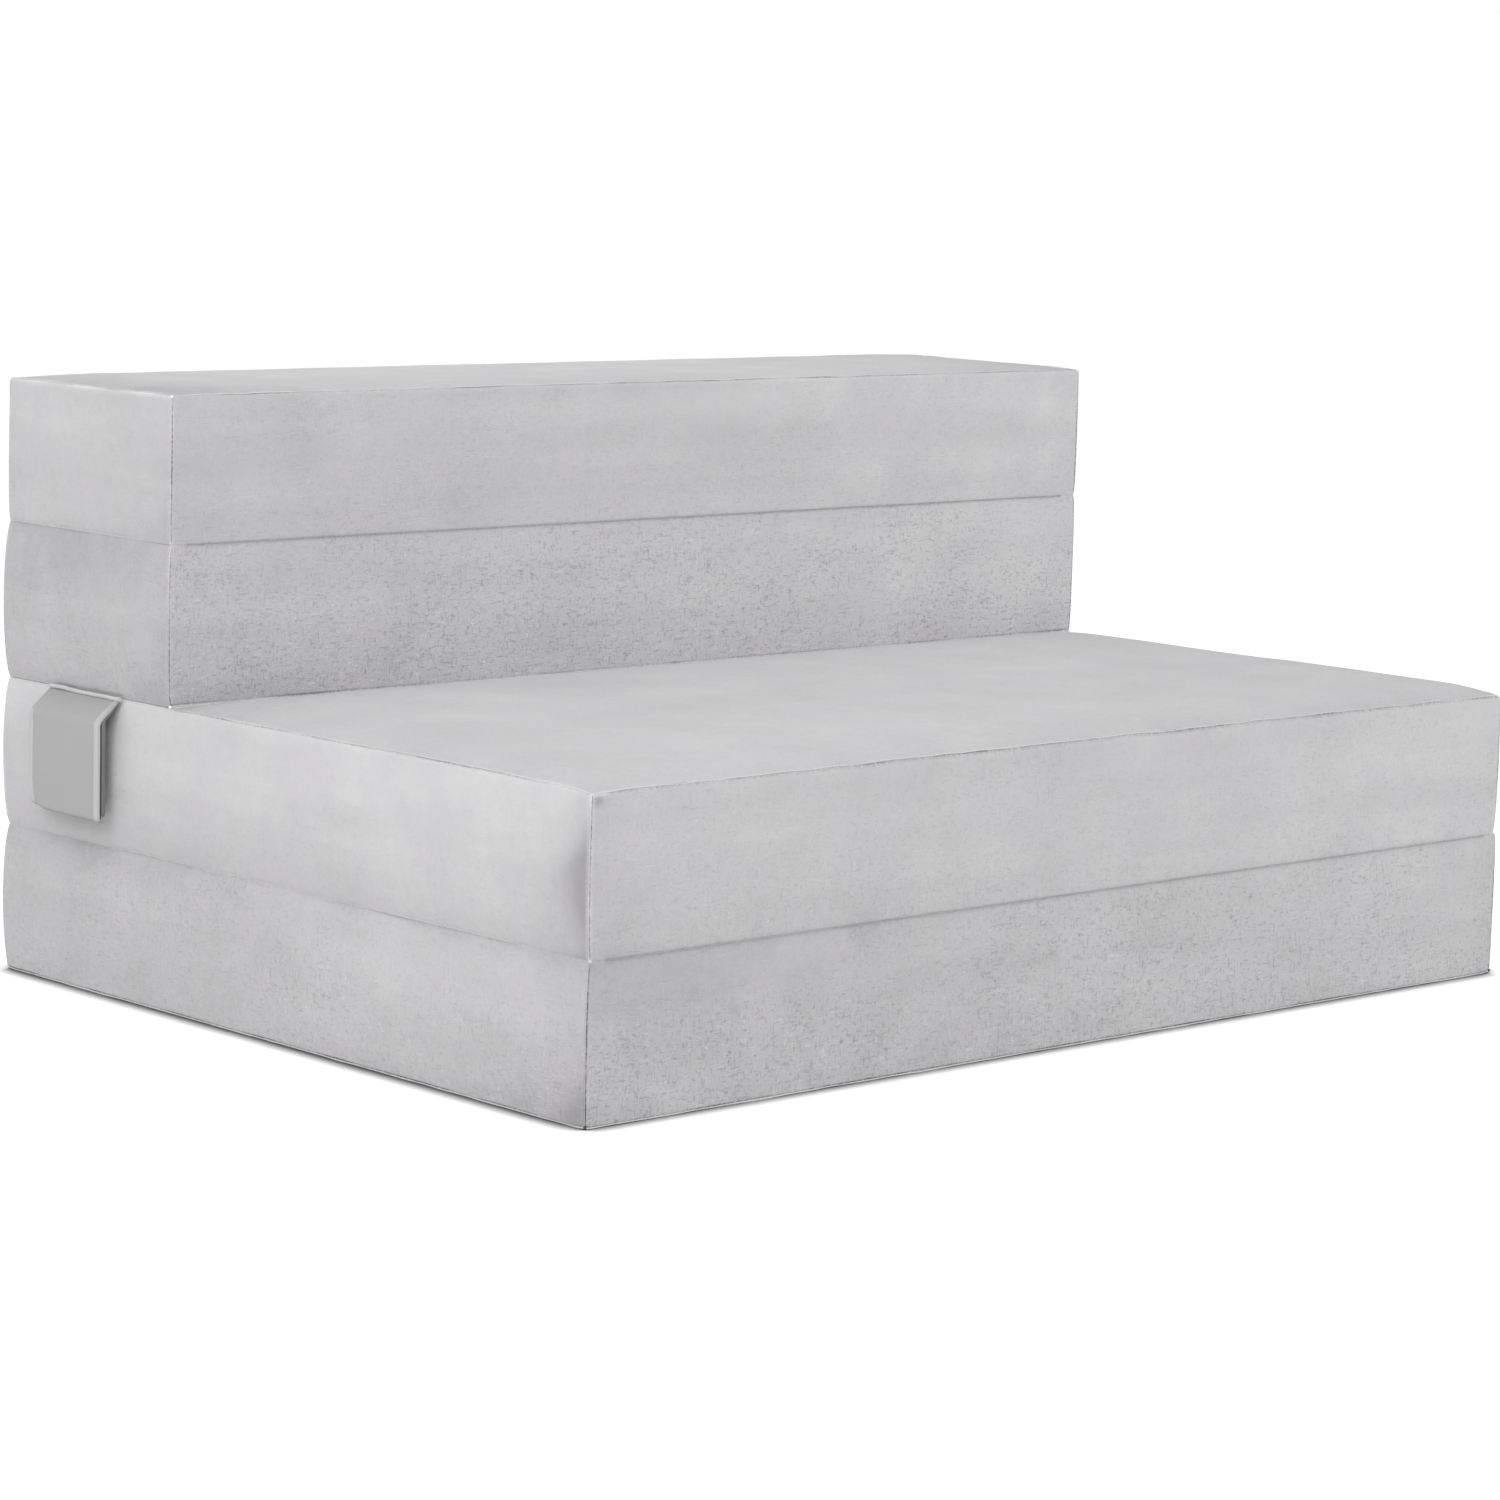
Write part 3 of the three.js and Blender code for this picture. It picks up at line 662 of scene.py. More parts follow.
def seam_across(seam, across, strength):
    """Depth of a seam at a distance across it, positive on its plainer side, and the darkness of its painted
    shade.
    """
    ridge = seam.ridge * bell(across, 0.0, RIDGE_WIDTH_MM)
    crevice = bell(across, -CREVICE_AT_MM, seam.width) * strength
    valley = seam.valley * bell(across, VALLEY_AT_MM, VALLEY_WIDTH_MM) * strength
    return seam.crevice * crevice + valley - ridge, seam.mark * crevice


def long_edge_seam(panel, side_y, side_z):
    if (side_y, side_z) in HINGE_EDGES[panel.name]:
        return NO_SEAM
    if (panel.name, side_y, side_z) == WELT_EDGE:
        return WELT_SEAM
    if side_z in MEETING_SIDES[panel.name]:
        return END_MEETING_SEAM
    if (panel.name, side_y, side_z) == SEAT_FRONT_EDGE:
        return SEAT_FRONT_SEAM
    return FOOT_SEAM if side_z == BOTTOM else OPEN_TOP_SEAM


def fold_share(panel, side_y, side_z, point):
    """1 on the little fold at the seat's left front corner, down to 0 beyond it."""
    if (panel.name, side_y, side_z) != SEAT_FRONT_EDGE or point.x > 0:
        return 0.0
    return 1.0 - smooth_share(panel.high.x - abs(point.x), FOLD_REACH_MM * 0.6, FOLD_REACH_MM)


def end_edge_seam(panel, side_z, y):
    open_share = openness(panel, side_z, y)
    open_seam = FOOT_SEAM if side_z == BOTTOM else OPEN_TOP_SEAM
    if (panel.name, side_z) == ("upper_back", TOP):
        open_seam = ROLLED_TOP_SEAM
    return Seam(*(shut + (wide - shut) * open_share for shut, wide in zip(END_MEETING_SEAM, open_seam)))


# %% [markdown]
# The shape of a cover is a rule for one point of the block's skin. In turn it presses the seams
# in, rounds the edges, swells the ends between their seams, lets slack cloth ripple and raises
# the crown of an open face. Faces that meet another panel stay flat, and so do the two faces
# beside each hinge, because they close on each other when it is unfolded.

# %% Swell, crown and ripples of a cover
END_SWELL_MM = 5.0
SWELL_POWER = 2.2
StraightEnd = namedtuple("StraightEnd", "top foot swell")
LEFT, RIGHT = -1.0, 1.0
STRAIGHT_ENDS = {
    ("upper_back", LEFT): StraightEnd(5.2, 4.8, 1.4),
    ("upper_back", RIGHT): StraightEnd(1.2, 1.2, 1.0),
    ("lower_back", RIGHT): StraightEnd(1.0, 1.0, 1.0),
    ("base", RIGHT): StraightEnd(2.0, 2.0, 1.5),
}
FRONT_CORNER_PULL_MM = 3.8
REAR_CORNER_PULL_MM = 0.8
CORNER_PULL_REACH_MM = 46.0
CREASE_PULL_MM = 1.4
CREASE_REACH_MM = 6.0
FACE_DRAWN_IN_MM = 0.6
CROWN_POWER_X = 22.0
CROWN_POWER_Y = 16.0
SEAT_FRONT_RISE_MM = 1.7
SEAT_FRONT_RISE_FROM = -150.0
SEAT_FRONT_RISE_TO = -95.0
LEFT_CORNER_DROP_MM = 0.5
RIGHT_CORNER_DROP_MM = 1.5
CORNER_DROP_REACH_MM = 14.0
CORNER_LIFT_MM = 1.3
CORNER_LIFT_REACH_MM = 13.0
RIPPLE_MM = 0.7
RIPPLE_PITCH_MM = 24.0
RIPPLE_REACH_MM = 16.0
SLACK_MM = 0.9
SLACK_PITCH_MM = 95.0
SLACK_HEIGHT_MM = 60.0
SLIT_DEPTH_MM = 2.7
SLIT_END_MM = 24.0
STRENGTH_PITCH_MM = 38.0


def hump(value, low, high, power):
    share = (value - low) / (high - low)
    if not 0.0 < share < 1.0:
        return 0.0
    return 1.0 - abs(2.0 * share - 1.0) ** power


def crown_height(panel, y):
    """The seat is fullest at its front, where the backrest's upper panel doesn't reach when it
    is folded over."""
    height = panel.crown + CROWN_SWELLS_MM[panel.name]
    if panel.name == "seat":
        height += SEAT_FRONT_RISE_MM * (1.0 - smooth_share(y, SEAT_FRONT_RISE_FROM, SEAT_FRONT_RISE_TO))
    return height


def touches_hinge(panel, side_y):
    return any(edge[0] == side_y for edge in HINGE_EDGES[panel.name])


def slit_depth(panel, point, from_end):
    """The right end's cloth dips behind the zip's coil."""
    middle_z = (panel.low.z + panel.high.z) / 2
    in_slit = point.x > 0 and from_end > SLIT_END_MM and abs(point.z - middle_z) < SLIT_HALF_MM - MM
    return SLIT_DEPTH_MM if in_slit else 0.0


def slack(along, point, seed):
    return SLACK_MM * (0.5 + noise.noise(Vector((along / SLACK_PITCH_MM, point.z / SLACK_HEIGHT_MM, seed))))


def press(seam, across, strength, fade, other=0.0):
    """How far a seam pushes in the face it lies on and the face round the edge, and its mark of painted
    shade.
    """
    depth, dark = seam_across(seam, across, strength)
    near = math.exp(-abs(across) / CREVICE_AT_MM)
    return (depth + other) * (1.0 - 0.3 * near) * fade, (depth + other) * (0.7 * near) * fade, dark


def press_seams(panel, depths, side_y, side_z, point, seed):
    """Depths of the three seams nearest to a point of the skin, and how dark their painted shade is there."""
    depth_x, depth_y, depth_z = depths
    on_end, on_face, on_flat = (depth < MM for depth in depths)
    fade_x, fade_y, fade_z = (smooth_share(depth, 0.0, SEAM_END_FADE_MM) for depth in depths)
    push = Vector((0.0, 0.0, 0.0))
    mark = 0.0
    if not on_flat:
        across = depth_y if on_end else -depth_x
        strength = 0.9 + 0.9 * wave_at(point.z, STRENGTH_PITCH_MM, seed)
        other = bell(across, OTHER_CREVICE_AT_MM, CREVICE_WIDTH_MM) * 0.45 * max(0.0, strength)
        seam, held = CORNER_SEAMS[panel.name], max(CORNER_LEAST, strength)
        own, beside, dark = press(seam, across, held, fade_z, other)
        push += Vector((own, beside, 0.0)) if on_end else Vector((beside, own, 0.0))
        mark = max(mark, (dark + other * 0.5) * fade_z)
    if not on_face:
        across = depth_x if on_flat else -depth_z
        strength = max(SEAM_LEAST, 0.75 + 1.0 * wave_at(point.y, STRENGTH_PITCH_MM, seed + 3.0))
        own, beside, dark = press(end_edge_seam(panel, side_z, point.y), across, strength, fade_y)
        push += Vector((beside, 0.0, own)) if on_flat else Vector((own, 0.0, beside))
        mark = max(mark, dark * fade_y)
    if not on_end:
        across = depth_y if on_flat else -depth_z
        strength, least = 0.75 + 1.0 * wave_at(point.x, STRENGTH_PITCH_MM, seed + 6.0), SEAM_LEAST
        if (panel.name, side_y, side_z) == SEAT_FRONT_EDGE:
            strength, least = strength + SEAT_FRONT_GAIN * point.x / panel.high.x, SEAT_FRONT_LEAST
        own, beside, dark = press(long_edge_seam(panel, side_y, side_z), across, max(least, strength), fade_x)
        push += Vector((0.0, beside, own)) if on_flat else Vector((0.0, own, beside))
        mark = max(mark, dark * fade_x * (1.0 - fold_share(panel, side_y, side_z, point)))
    return push, mark


def shape_point(panel, point):
    """Where a point of the plain block's skin lies on the sewn cover, and how dark a seam's painted shade is
    there.
    """
    low, high = panel.low, panel.high
    sign_x = RIGHT if point.x > 0 else LEFT
    side_y, side_z, depths = sides_and_depths(panel, point)
    depth_x, depth_y, depth_z = flat_x, flat_y, flat_z = depths
    on_end, on_face, on_flat = (depth < MM for depth in depths)
    to_long_edge, to_end_edge = flat_y + flat_z, flat_x + flat_z
    # Each quarter of each panel has a seed of its own, so that no two seams wander alike
    seed = PANELS.index(panel) * 7.3 + sign_x * 1.7 + (3.1 if side_y == FRONT else 5.9)
    push, mark = press_seams(panel, depths, side_y, side_z, point, seed)
    open_share = openness(panel, side_z, point.y)
    open_radius = FOOT_EDGE_MM if side_z == BOTTOM else OPEN_EDGE_MM
    end_radius = MEETING_EDGE_MM + (open_radius - MEETING_EDGE_MM) * open_share
    depth_y, depth_z = round_pair(depth_y, depth_z, long_edge_radius(panel, side_y, side_z))
    depth_x, depth_z = round_pair(depth_x, depth_z, end_radius)
    depth_x, depth_y = round_pair(depth_x, depth_y, CORNER_EDGE_MM)
    # The ends swell between their seams and are drawn in again at the corners and creases
    share = (point.z - low.z) / (high.z - low.z)
    drawn = abs(2.0 * share - 1.0) ** SWELL_POWER
    near_corner = 1.0 - smooth_share(flat_y, 0.0, CORNER_PULL_REACH_MM)
    inner = smooth_share(high.x - depth_x, 0.0, high.x)
    swell = END_SWELL_MM * drawn * (high.x - depth_x) / high.x
    corner_pull = FRONT_CORNER_PULL_MM if side_y == FRONT else REAR_CORNER_PULL_MM
    if (panel.name, sign_x) in STRAIGHT_ENDS:
        end = STRAIGHT_ENDS[panel.name, sign_x]
        plain = end.foot + (end.top - end.foot) * share
        swell = (plain - end.swell * (1.0 - drawn)) * (high.x - depth_x) / high.x
        corner_pull = end.swell
    pull = corner_pull * (1.0 - drawn) * near_corner * inner
    crease = CREASE_PULL_MM * (1.0 - open_share) * math.exp(-depth_z / CREASE_REACH_MM) * inner ** 8
    depth_x += push.x + swell + pull + crease
    depth_y += push.y + FACE_DRAWN_IN_MM * drawn
    depth_z += push.z
    # Slack cloth ripples beside its seams, and inwards only, so nothing stands out of the frame
    if on_end:
        fade = math.exp(-min(depth_z, flat_y) / RIPPLE_REACH_MM)
        depth_x += RIPPLE_MM * fade * (0.5 + wave_at(point.y, RIPPLE_PITCH_MM, seed + share * 1.4))
        depth_x += slack(point.y, point, seed)
        depth_x += slit_depth(panel, point, flat_y)
    if on_face and not touches_hinge(panel, side_y):
        depth_y += slack(point.x, point, seed)
    # The lip of an edge that meets the next panel closes the gap between them
    if side_z in MEETING_SIDES[panel.name]:
        depth_z -= LIP_MM * bell(flat_z, 0.0, LIP_REACH_MM) * bell(min(flat_x, flat_y), 0.0, LIP_REACH_MM)
    x = sign_x * (high.x - depth_x)
    y = low.y + depth_y if side_y == FRONT else high.y - depth_y
    z = low.z + depth_z if side_z == BOTTOM else high.z - depth_z
    # An open top has a crown, and its corners hang a little
    if side_z == TOP and panel.crown:
        rise = hump(x, -high.x, high.x, CROWN_POWER_X) * hump(y, low.y, panel.crown_rear, CROWN_POWER_Y)
        z += crown_height(panel, y) * rise * smooth_share(share, 0.9, 1.0)
        drop_x = 1.0 - smooth_share(high.x - abs(x), 0.0, CORNER_DROP_REACH_MM)
        drop_y = 1.0 - smooth_share(y - low.y, 0.0, CORNER_DROP_REACH_MM)
        corner_drop = RIGHT_CORNER_DROP_MM if sign_x > 0 and panel.name == "seat" else LEFT_CORNER_DROP_MM
        z -= corner_drop * drop_x * drop_y * smooth_share(share, 0.5, 1.0)
        if on_flat and y < panel.crown_rear:
            fade = math.exp(-min(to_long_edge, to_end_edge) / RIPPLE_REACH_MM)
            along = point.x if to_long_edge < to_end_edge else point.y
            z -= RIPPLE_MM * fade * (0.5 + wave_at(along, RIPPLE_PITCH_MM, seed + 4.0))
    # The corners that stand on the floor are worn round and lift off it a little
    if panel.name == "base" and side_z == BOTTOM:
        lift_x = 1.0 - smooth_share(high.x - abs(x), 0.0, CORNER_LIFT_REACH_MM)
        lift_y = 1.0 - smooth_share(min(y - low.y, high.y - y), 0.0, CORNER_LIFT_REACH_MM)
        z += CORNER_LIFT_MM * lift_x * lift_y * (1.0 - smooth_share(share, 0.0, 0.3))
    return Vector((x, y, z)), mark


# %% [markdown]
# Light and shade are painted into the pile's tone. Painted shade darkens the ends beside their
# front corner and under a crease, the fronts grow lighter from left to right, and the tops are
# painted darker towards their ends and front edge and in front of the backrest. Loose fuzz stands
# up most near the foot of each panel. Each vertex gets these tones as numbers, and the velour's
# nodes read them.

# %% Light and shade painted into the pile
CORNER_SHADE_REACHES_MM = {"base": 42.0, "seat": 24.0, "lower_back": 30.0, "upper_back": 30.0}
CORNER_SHADES = {"base": 2.4, "seat": 3.6, "lower_back": 1.2, "upper_back": 0.9}
END_TONES = {"base": 0.2, "seat": 0.1, "lower_back": -0.15, "upper_back": -0.35}
END_SLOPES = {"base": 0.25, "seat": 0.75, "lower_back": 0.0, "upper_back": 0.25}
FRONT_TONES = {"base": -0.1, "seat": -0.3, "lower_back": 0.45, "upper_back": -0.1}
FRONT_SWEEPS = {"base": 1.2, "seat": 0.9, "lower_back": 1.6, "upper_back": 1.3}
CREASE_SHADE = 1.0
CREASE_SHADE_REACH_MM = 26.0
EDGE_SHADE_REACH_MM = 26.0
TOP_SHADES = {"seat": 0.45, "upper_back": 1.7}
TOP_SHADE_REACH_MM = 80.0
TOP_FRONT_SHADE_REACH_MM = 34.0
TOP_TONES = {"seat": -0.05, "upper_back": 0.55}
BACKREST_SHADE = 1.3
BACKREST_SHADE_REACH_MM = 20.0
PUCKER_SHADE = 1.4
PUCKER_MM = 6.0


def corner_profile(panel, height):
    """How the shade beside a corner seam changes upwards: the seat's is darkest half way up, and
    the base's gathers at its foot."""
    if panel.name == "seat":
        return 0.4 + 0.8 * bell(height, 0.45, 0.3)
    if panel.name == "base":
        return 0.1 + 1.6 * (1.0 - height) ** 2
    return 1.15 - height


def painted_shading_tone(panel, point):
    """From about -1, painted deep shade, to 1, painted light."""
    low, high = panel.low, panel.high
    share_x = (point.x - low.x) / (high.x - low.x)
    height = (point.z - low.z) / (high.z - low.z)
    depth_x = high.x - abs(point.x)
    tone = 0.0
    # On the ends: painted shade beside the front corner and under a crease, and a tone that changes with
    # height
    if depth_x < MM:
        near_corner = math.exp(-(point.y - low.y) / CORNER_SHADE_REACHES_MM[panel.name])
        tone -= CORNER_SHADES[panel.name] * near_corner * corner_profile(panel, height)
        tone += END_TONES[panel.name] + END_SLOPES[panel.name] * (height - 0.5)
        if TOP in MEETING_SIDES[panel.name]:
            tone -= CREASE_SHADE * math.exp(-(high.z - point.z) / CREASE_SHADE_REACH_MM)
    # On the fronts: lighter from left to right, with painted shade near the ends, lower down and in the
    # seat's pucker
    elif min(point.y - low.y, high.y - point.y) < MM:
        tone += FRONT_TONES[panel.name] + FRONT_SWEEPS[panel.name] * (share_x - 0.45)
        tone -= 0.25 * math.exp(-depth_x / EDGE_SHADE_REACH_MM)
        tone -= 0.2 * (0.5 - height)
        if panel.name == "seat" and point.x < 0:
            below = bell(high.z - point.z, PUCKER_MM, PUCKER_MM * 0.7)
            tone -= PUCKER_SHADE * bell(depth_x, PUCKER_MM, PUCKER_MM) * below
    # On the tops: painted shade towards the ends, at the front edge and in front of the backrest
    elif panel.crown and point.z > high.z - MM:
        tone += 0.2 * (share_x - 0.3) + TOP_TONES[panel.name]
        tone -= TOP_SHADES[panel.name] * math.exp(-depth_x / TOP_SHADE_REACH_MM)
        tone -= 0.7 * math.exp(-(point.y - low.y) / TOP_FRONT_SHADE_REACH_MM)
        if panel.name == "seat":
            tone -= BACKREST_SHADE * math.exp(-abs(panel.crown_rear - point.y) / BACKREST_SHADE_REACH_MM)
    return tone


# %% [markdown]
# Where a seam allowance is rolled under an edge, the cloth over it is pulled thin, and the light
# it catches is painted on as a narrow pale rim. It is strongest along the ends of the top panel,
# up the corner seams, on the welt at the foot of the backrest and on the little fold at the
# seat's left front corner.

# %% Painted highlights along the seams
RIM_WIDTH_MM = 1.5
ROLLED_RIM_WIDTH_MM = 3.4
CORNER_RIM_WIDTH_MM = 2.6
CORNER_RIMS = {"base": 0.2, "seat": 1.1, "lower_back": 0.5, "upper_back": 0.5}
END_RIMS = {"base": 0.5, "seat": 0.55, "lower_back": 0.0, "upper_back": 1.1}
LONG_RIMS = {"base": 0.45, "seat": 0.1, "lower_back": 0.65, "upper_back": 0.15}
FOLD_WIDTH_MM = 2.6


def painted_rim_highlight(panel, point):
    """1 on the ridge of an open edge, where a highlight is painted on the cloth that is pulled thin there."""
    side_y, side_z, (depth_x, depth_y, depth_z) = sides_and_depths(panel, point)
    long_rim = LONG_RIMS[panel.name] if long_edge_seam(panel, side_y, side_z).ridge else 0.0
    on_fold = fold_share(panel, side_y, side_z, point) * bell(depth_y + depth_z, 0.0, FOLD_WIDTH_MM)
    on_long = long_rim * bell(depth_y + depth_z, 0.0, RIM_WIDTH_MM)
    end_width = ROLLED_RIM_WIDTH_MM if panel.name == "upper_back" else RIM_WIDTH_MM
    on_end = END_RIMS[panel.name] * bell(depth_x + depth_z, 0.0, end_width) * openness(panel, side_z, point.y)
    up_corner = CORNER_RIMS[panel.name] * bell(depth_x + depth_y, 0.0, CORNER_RIM_WIDTH_MM)
    wander = 0.75 + 0.9 * noise.noise(Vector((point.x, point.y, point.z)) / STRENGTH_PITCH_MM)
    return min(1.0, max(max(on_long, on_end, up_corner) * max(0.0, wander), on_fold))


END_FUZZ = {"base": 0.55, "seat": 0.15, "lower_back": 0.35, "upper_back": 0.15}
LONG_FUZZ = {"base": 0.95, "seat": 0.35, "lower_back": 0.95, "upper_back": 0.3}
TOP_FUZZ = 0.15
FUZZ_PATCH_MM = (120.0, 120.0, 60.0)


def fuzz_level(panel, point):
    """How much loose fuzz stands up, from 0 to 1, most towards the foot of each panel."""
    low, high = panel.low, panel.high
    if point.z > high.z - MM:
        return TOP_FUZZ
    height = (point.z - low.z) / (high.z - low.z)
    most = (END_FUZZ if high.x - abs(point.x) < MM else LONG_FUZZ)[panel.name]
    patch = noise.noise(Vector(place / size for place, size in zip(point, FUZZ_PATCH_MM)))
    return min(1.0, max(0.0, most * (1.25 - 0.7 * height + 0.7 * patch)))


# %% [markdown]
# Padded fabric looks right when a cloth solver has settled it, so each cover is blown up gently
# from inside. Gravity is off, all but the ends is pinned, and no point may move further than a
# cap, so the cover stays the size that the foam gives it. The solver's result is written to the
# mesh, and the Cloth modifier is removed.

# %% Settle a cover with a cloth simulation
CLOTH_SETTINGS = {
    "quality": 4,
    "mass": 0.3,
    "tension_stiffness": 12.0,
    "compression_stiffness": 12.0,
    "shear_stiffness": 4.0,
    "bending_stiffness": 0.4,
    "use_pressure": True,
    "uniform_pressure_force": 4.0,
    "vertex_group_mass": "sewn",
}
LAST_FRAME = 20
CAP_MM = 2.4
PIN_REACH_MM = 12.0
PIN_FADE_MM = 22.0


def pin_weight(panel, point):
    """1 where the cloth is sewn or pressed flat, down to 0 on the ends, where it is free to swell.
    Every other face meets another panel, at rest or when one is folded over, and stays flat."""
    _, _, (depth_x, depth_y, depth_z) = sides_and_depths(panel, point)
    if depth_x > min(depth_y, depth_z):
        return 1.0
    weight = 1.0 - smooth_share(min(depth_y, depth_z), PIN_REACH_MM, PIN_REACH_MM + PIN_FADE_MM)
    if point.x > 0:
        slit = abs(point.z - (panel.low.z + panel.high.z) / 2)
        weight = max(weight, 1.0 - smooth_share(slit, PIN_REACH_MM, PIN_FADE_MM))
    return weight


def settle(cover, weights):
    pins = cover.vertex_groups.new(name="sewn")
    for index, weight in enumerate(weights):
        pins.add([index], weight, "REPLACE")
    start = [vertex.co.copy() for vertex in cover.data.vertices]
    cloth = cover.modifiers.new("cloth", "CLOTH")
    for name, value in CLOTH_SETTINGS.items():
        setattr(cloth.settings, name, value)
    cloth.settings.effector_weights.gravity = 0.0
    cloth.point_cache.frame_start = 1
    cloth.point_cache.frame_end = LAST_FRAME
    for step in range(1, LAST_FRAME + 1):
        bpy.context.scene.frame_set(step)
    settled = cover.evaluated_get(bpy.context.evaluated_depsgraph_get())
    furthest = 0.0
    for vertex, after, before in zip(cover.data.vertices, settled.data.vertices, start):
        move = after.co - before
        if move.length > CAP_MM * MM:
            move *= CAP_MM * MM / move.length
        vertex.co = before + move
        furthest = max(furthest, move.length)
    cover.modifiers.remove(cloth)
    cover.vertex_groups.remove(pins)
    bpy.context.scene.frame_set(1)
    print(cover.name, "settled, moved at most", round(furthest / MM, 2), "mm")


# %% Make the four covers
def make_cover(panel):
    middle_z = (panel.low.z + panel.high.z) / 2
    slit_heights = [middle_z + side * row for row in SLIT_ROWS_MM for side in (-1.0, 1.0)]
    mesh = sliced_block(panel.low, panel.high, slit_heights)
    weights = [pin_weight(panel, vertex.co) for vertex in mesh.verts]
    columns = {
        "painted_shading": [painted_shading_tone(panel, vertex.co) for vertex in mesh.verts],
        "fuzz": [fuzz_level(panel, vertex.co) for vertex in mesh.verts],
        "rim": [painted_rim_highlight(panel, vertex.co) for vertex in mesh.verts],
        "pile": [panel.pile] * len(mesh.verts),
    }
    shaped = [shape_point(panel, vertex.co) for vertex in mesh.verts]
    columns["seam"] = [mark for _, mark in shaped]
    for vertex, (place, _) in zip(mesh.verts, shaped):
        vertex.co = place
    cover = finish_piece(mesh, f"{panel.name}_cover", VELOUR)
    for name, values in columns.items():
        cover.data.attributes.new(name, "FLOAT", "POINT").data.foreach_set("value", values)
    settle(cover, weights)
    finer = cover.modifiers.new("finer", "SUBSURF")
    finer.levels = 1
    finer.render_levels = 1
    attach(cover, panel.name)
    cloths = [f"{panel.name}_{part}" for part in ("upper_cloth", "side_band", "lower_cloth")]
    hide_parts(*cloths)
    print(cover.name, "has", len(cover.data.polygons), "faces before the finer step")


for panel in PANELS:
    make_cover(panel)

# %% [markdown]
# The carry loop is one wide band of woven cloth. It leaves the crease under the backrest, bends
# over a soft shoulder and hangs down, and its end comes back up behind it, close to the seat, so
# that fingers go in between. Its front end shows a hem painted light as a highlight, and a dark
# strip of painted shade for the hollow behind it. It could be a bent box, but cloth keeps one
# thickness along its whole run, so a thin strip is drawn once from the side, extruded across and
# then given its thickness.

# %% Draw the loop from the side
LOOP_LOW, LOOP_HIGH = box_mm("carry_handle")
LOOP_THICK_MM = 2.0
LOOP_FRONT_TRIM_MM = 3.0
LOOP_FOOT_RADIUS_MM = 2.4
LOOP_ARC_STEPS = 6
LOOP_ROOT = Vector((-485.5, 0.0, 230.9))
LOOP_INNER_END = Vector((-0.6, 0.0, -2.4))
LOOP_SHOULDER_DROP_MM = 21.0
LOOP_SHOULDER_RADIUS_MM = 9.0
LOOP_INNER_RADIUS_MM = 4.0


def arc_points(middle, radius, start, end, steps):
    turns = [math.radians(start + (end - start) * step / steps) for step in range(steps + 1)]
    return [middle + Vector((math.cos(turn), 0.0, math.sin(turn))) * radius for turn in turns]


def loop_leaves():
    """The band's middle line in X and Z: its slope, then its outer and its inner leaf."""
    outer_x = LOOP_LOW.x + LOOP_THICK_MM / 2
    inner_x = outer_x + 2 * LOOP_FOOT_RADIUS_MM
    shoulder_z = LOOP_ROOT.z - LOOP_SHOULDER_DROP_MM
    shoulder = Vector((outer_x + LOOP_SHOULDER_RADIUS_MM, 0.0, shoulder_z))
    inner_shoulder = Vector((inner_x + LOOP_INNER_RADIUS_MM, 0.0, shoulder_z + LOOP_INNER_RADIUS_MM))
    foot = Vector((outer_x + LOOP_FOOT_RADIUS_MM, 0.0, LOOP_LOW.z + LOOP_FOOT_RADIUS_MM + LOOP_THICK_MM / 2))
    over = arc_points(shoulder, LOOP_SHOULDER_RADIUS_MM, 130.0, 180.0, LOOP_ARC_STEPS)
    hang = [Vector((outer_x, 0.0, over[-1].z + (foot.z - over[-1].z) * step / 8)) for step in range(1, 8)]
    under = arc_points(foot, LOOP_FOOT_RADIUS_MM, 180.0, 360.0, LOOP_ARC_STEPS)
    behind = arc_points(inner_shoulder, LOOP_INNER_RADIUS_MM, 180.0, 130.0, LOOP_ARC_STEPS)
    back = [under[-1].lerp(behind[0], step / 7) for step in range(1, 7)]
    slope = [LOOP_ROOT] + over[:2]
    outer_leaf = over[2:] + hang + under[:-1]
    inner_leaf = under[-1:] + back + behind + [LOOP_ROOT + LOOP_INNER_END]
    return slope, outer_leaf, inner_leaf


# %% Make the band and its hems
LOOP_ROWS_MM = (2.2, 4.0, 7.5, 12.0, 21.0, 32.0, 44.5, 58.0, 70.0, 80.0, 85.5, 88.6, 90.2)
HEM_WIDTH_MM = 5.0
HEM_THICK_MM = 3.2
HOLLOW_SHADE_END_SHARE = 0.55
LOOP_CORNER_REACH_MM = 26.0
LOOP_CORNER_RISE_MM = 4.0
LOOP_CORNER_DRAW_MM = 3.0
LOOP_WAVE_MM = 0.8
LOOP_FOOT_SHADE = 2.0
LOOP_FOOT_SHADE_MM = 3.0
LOOP_ROOT_SHADE_MM = 2.0
LOOP_WAVE_FROM_MM = 8.0
LOOP_WAVE_TO_MM = 40.0
LOOP_WAVE_PITCH_Y_MM = 55.0
LOOP_WAVE_PITCH_Z_MM = 60.0
BAND_TRIM_MM = 1.0
HEM_ROW_MM = 0.8


def strip_along_y(line, low_y, high_y, rows):
    """A line of points from the side, extruded across and sliced into rows."""
    mesh = bmesh.new()
    verts = [mesh.verts.new(Vector((place.x, low_y, place.z))) for place in line]
    edges = [mesh.edges.new(pair) for pair in zip(verts, verts[1:])]
    grown = bmesh.ops.extrude_edge_only(mesh, edges=edges)["geom"]
    moved = [item for item in grown if isinstance(item, bmesh.types.BMVert)]
    bmesh.ops.translate(mesh, vec=Vector((0.0, high_y - low_y, 0.0)), verts=moved)
    slice_mesh(mesh, 1, rows)
    return mesh


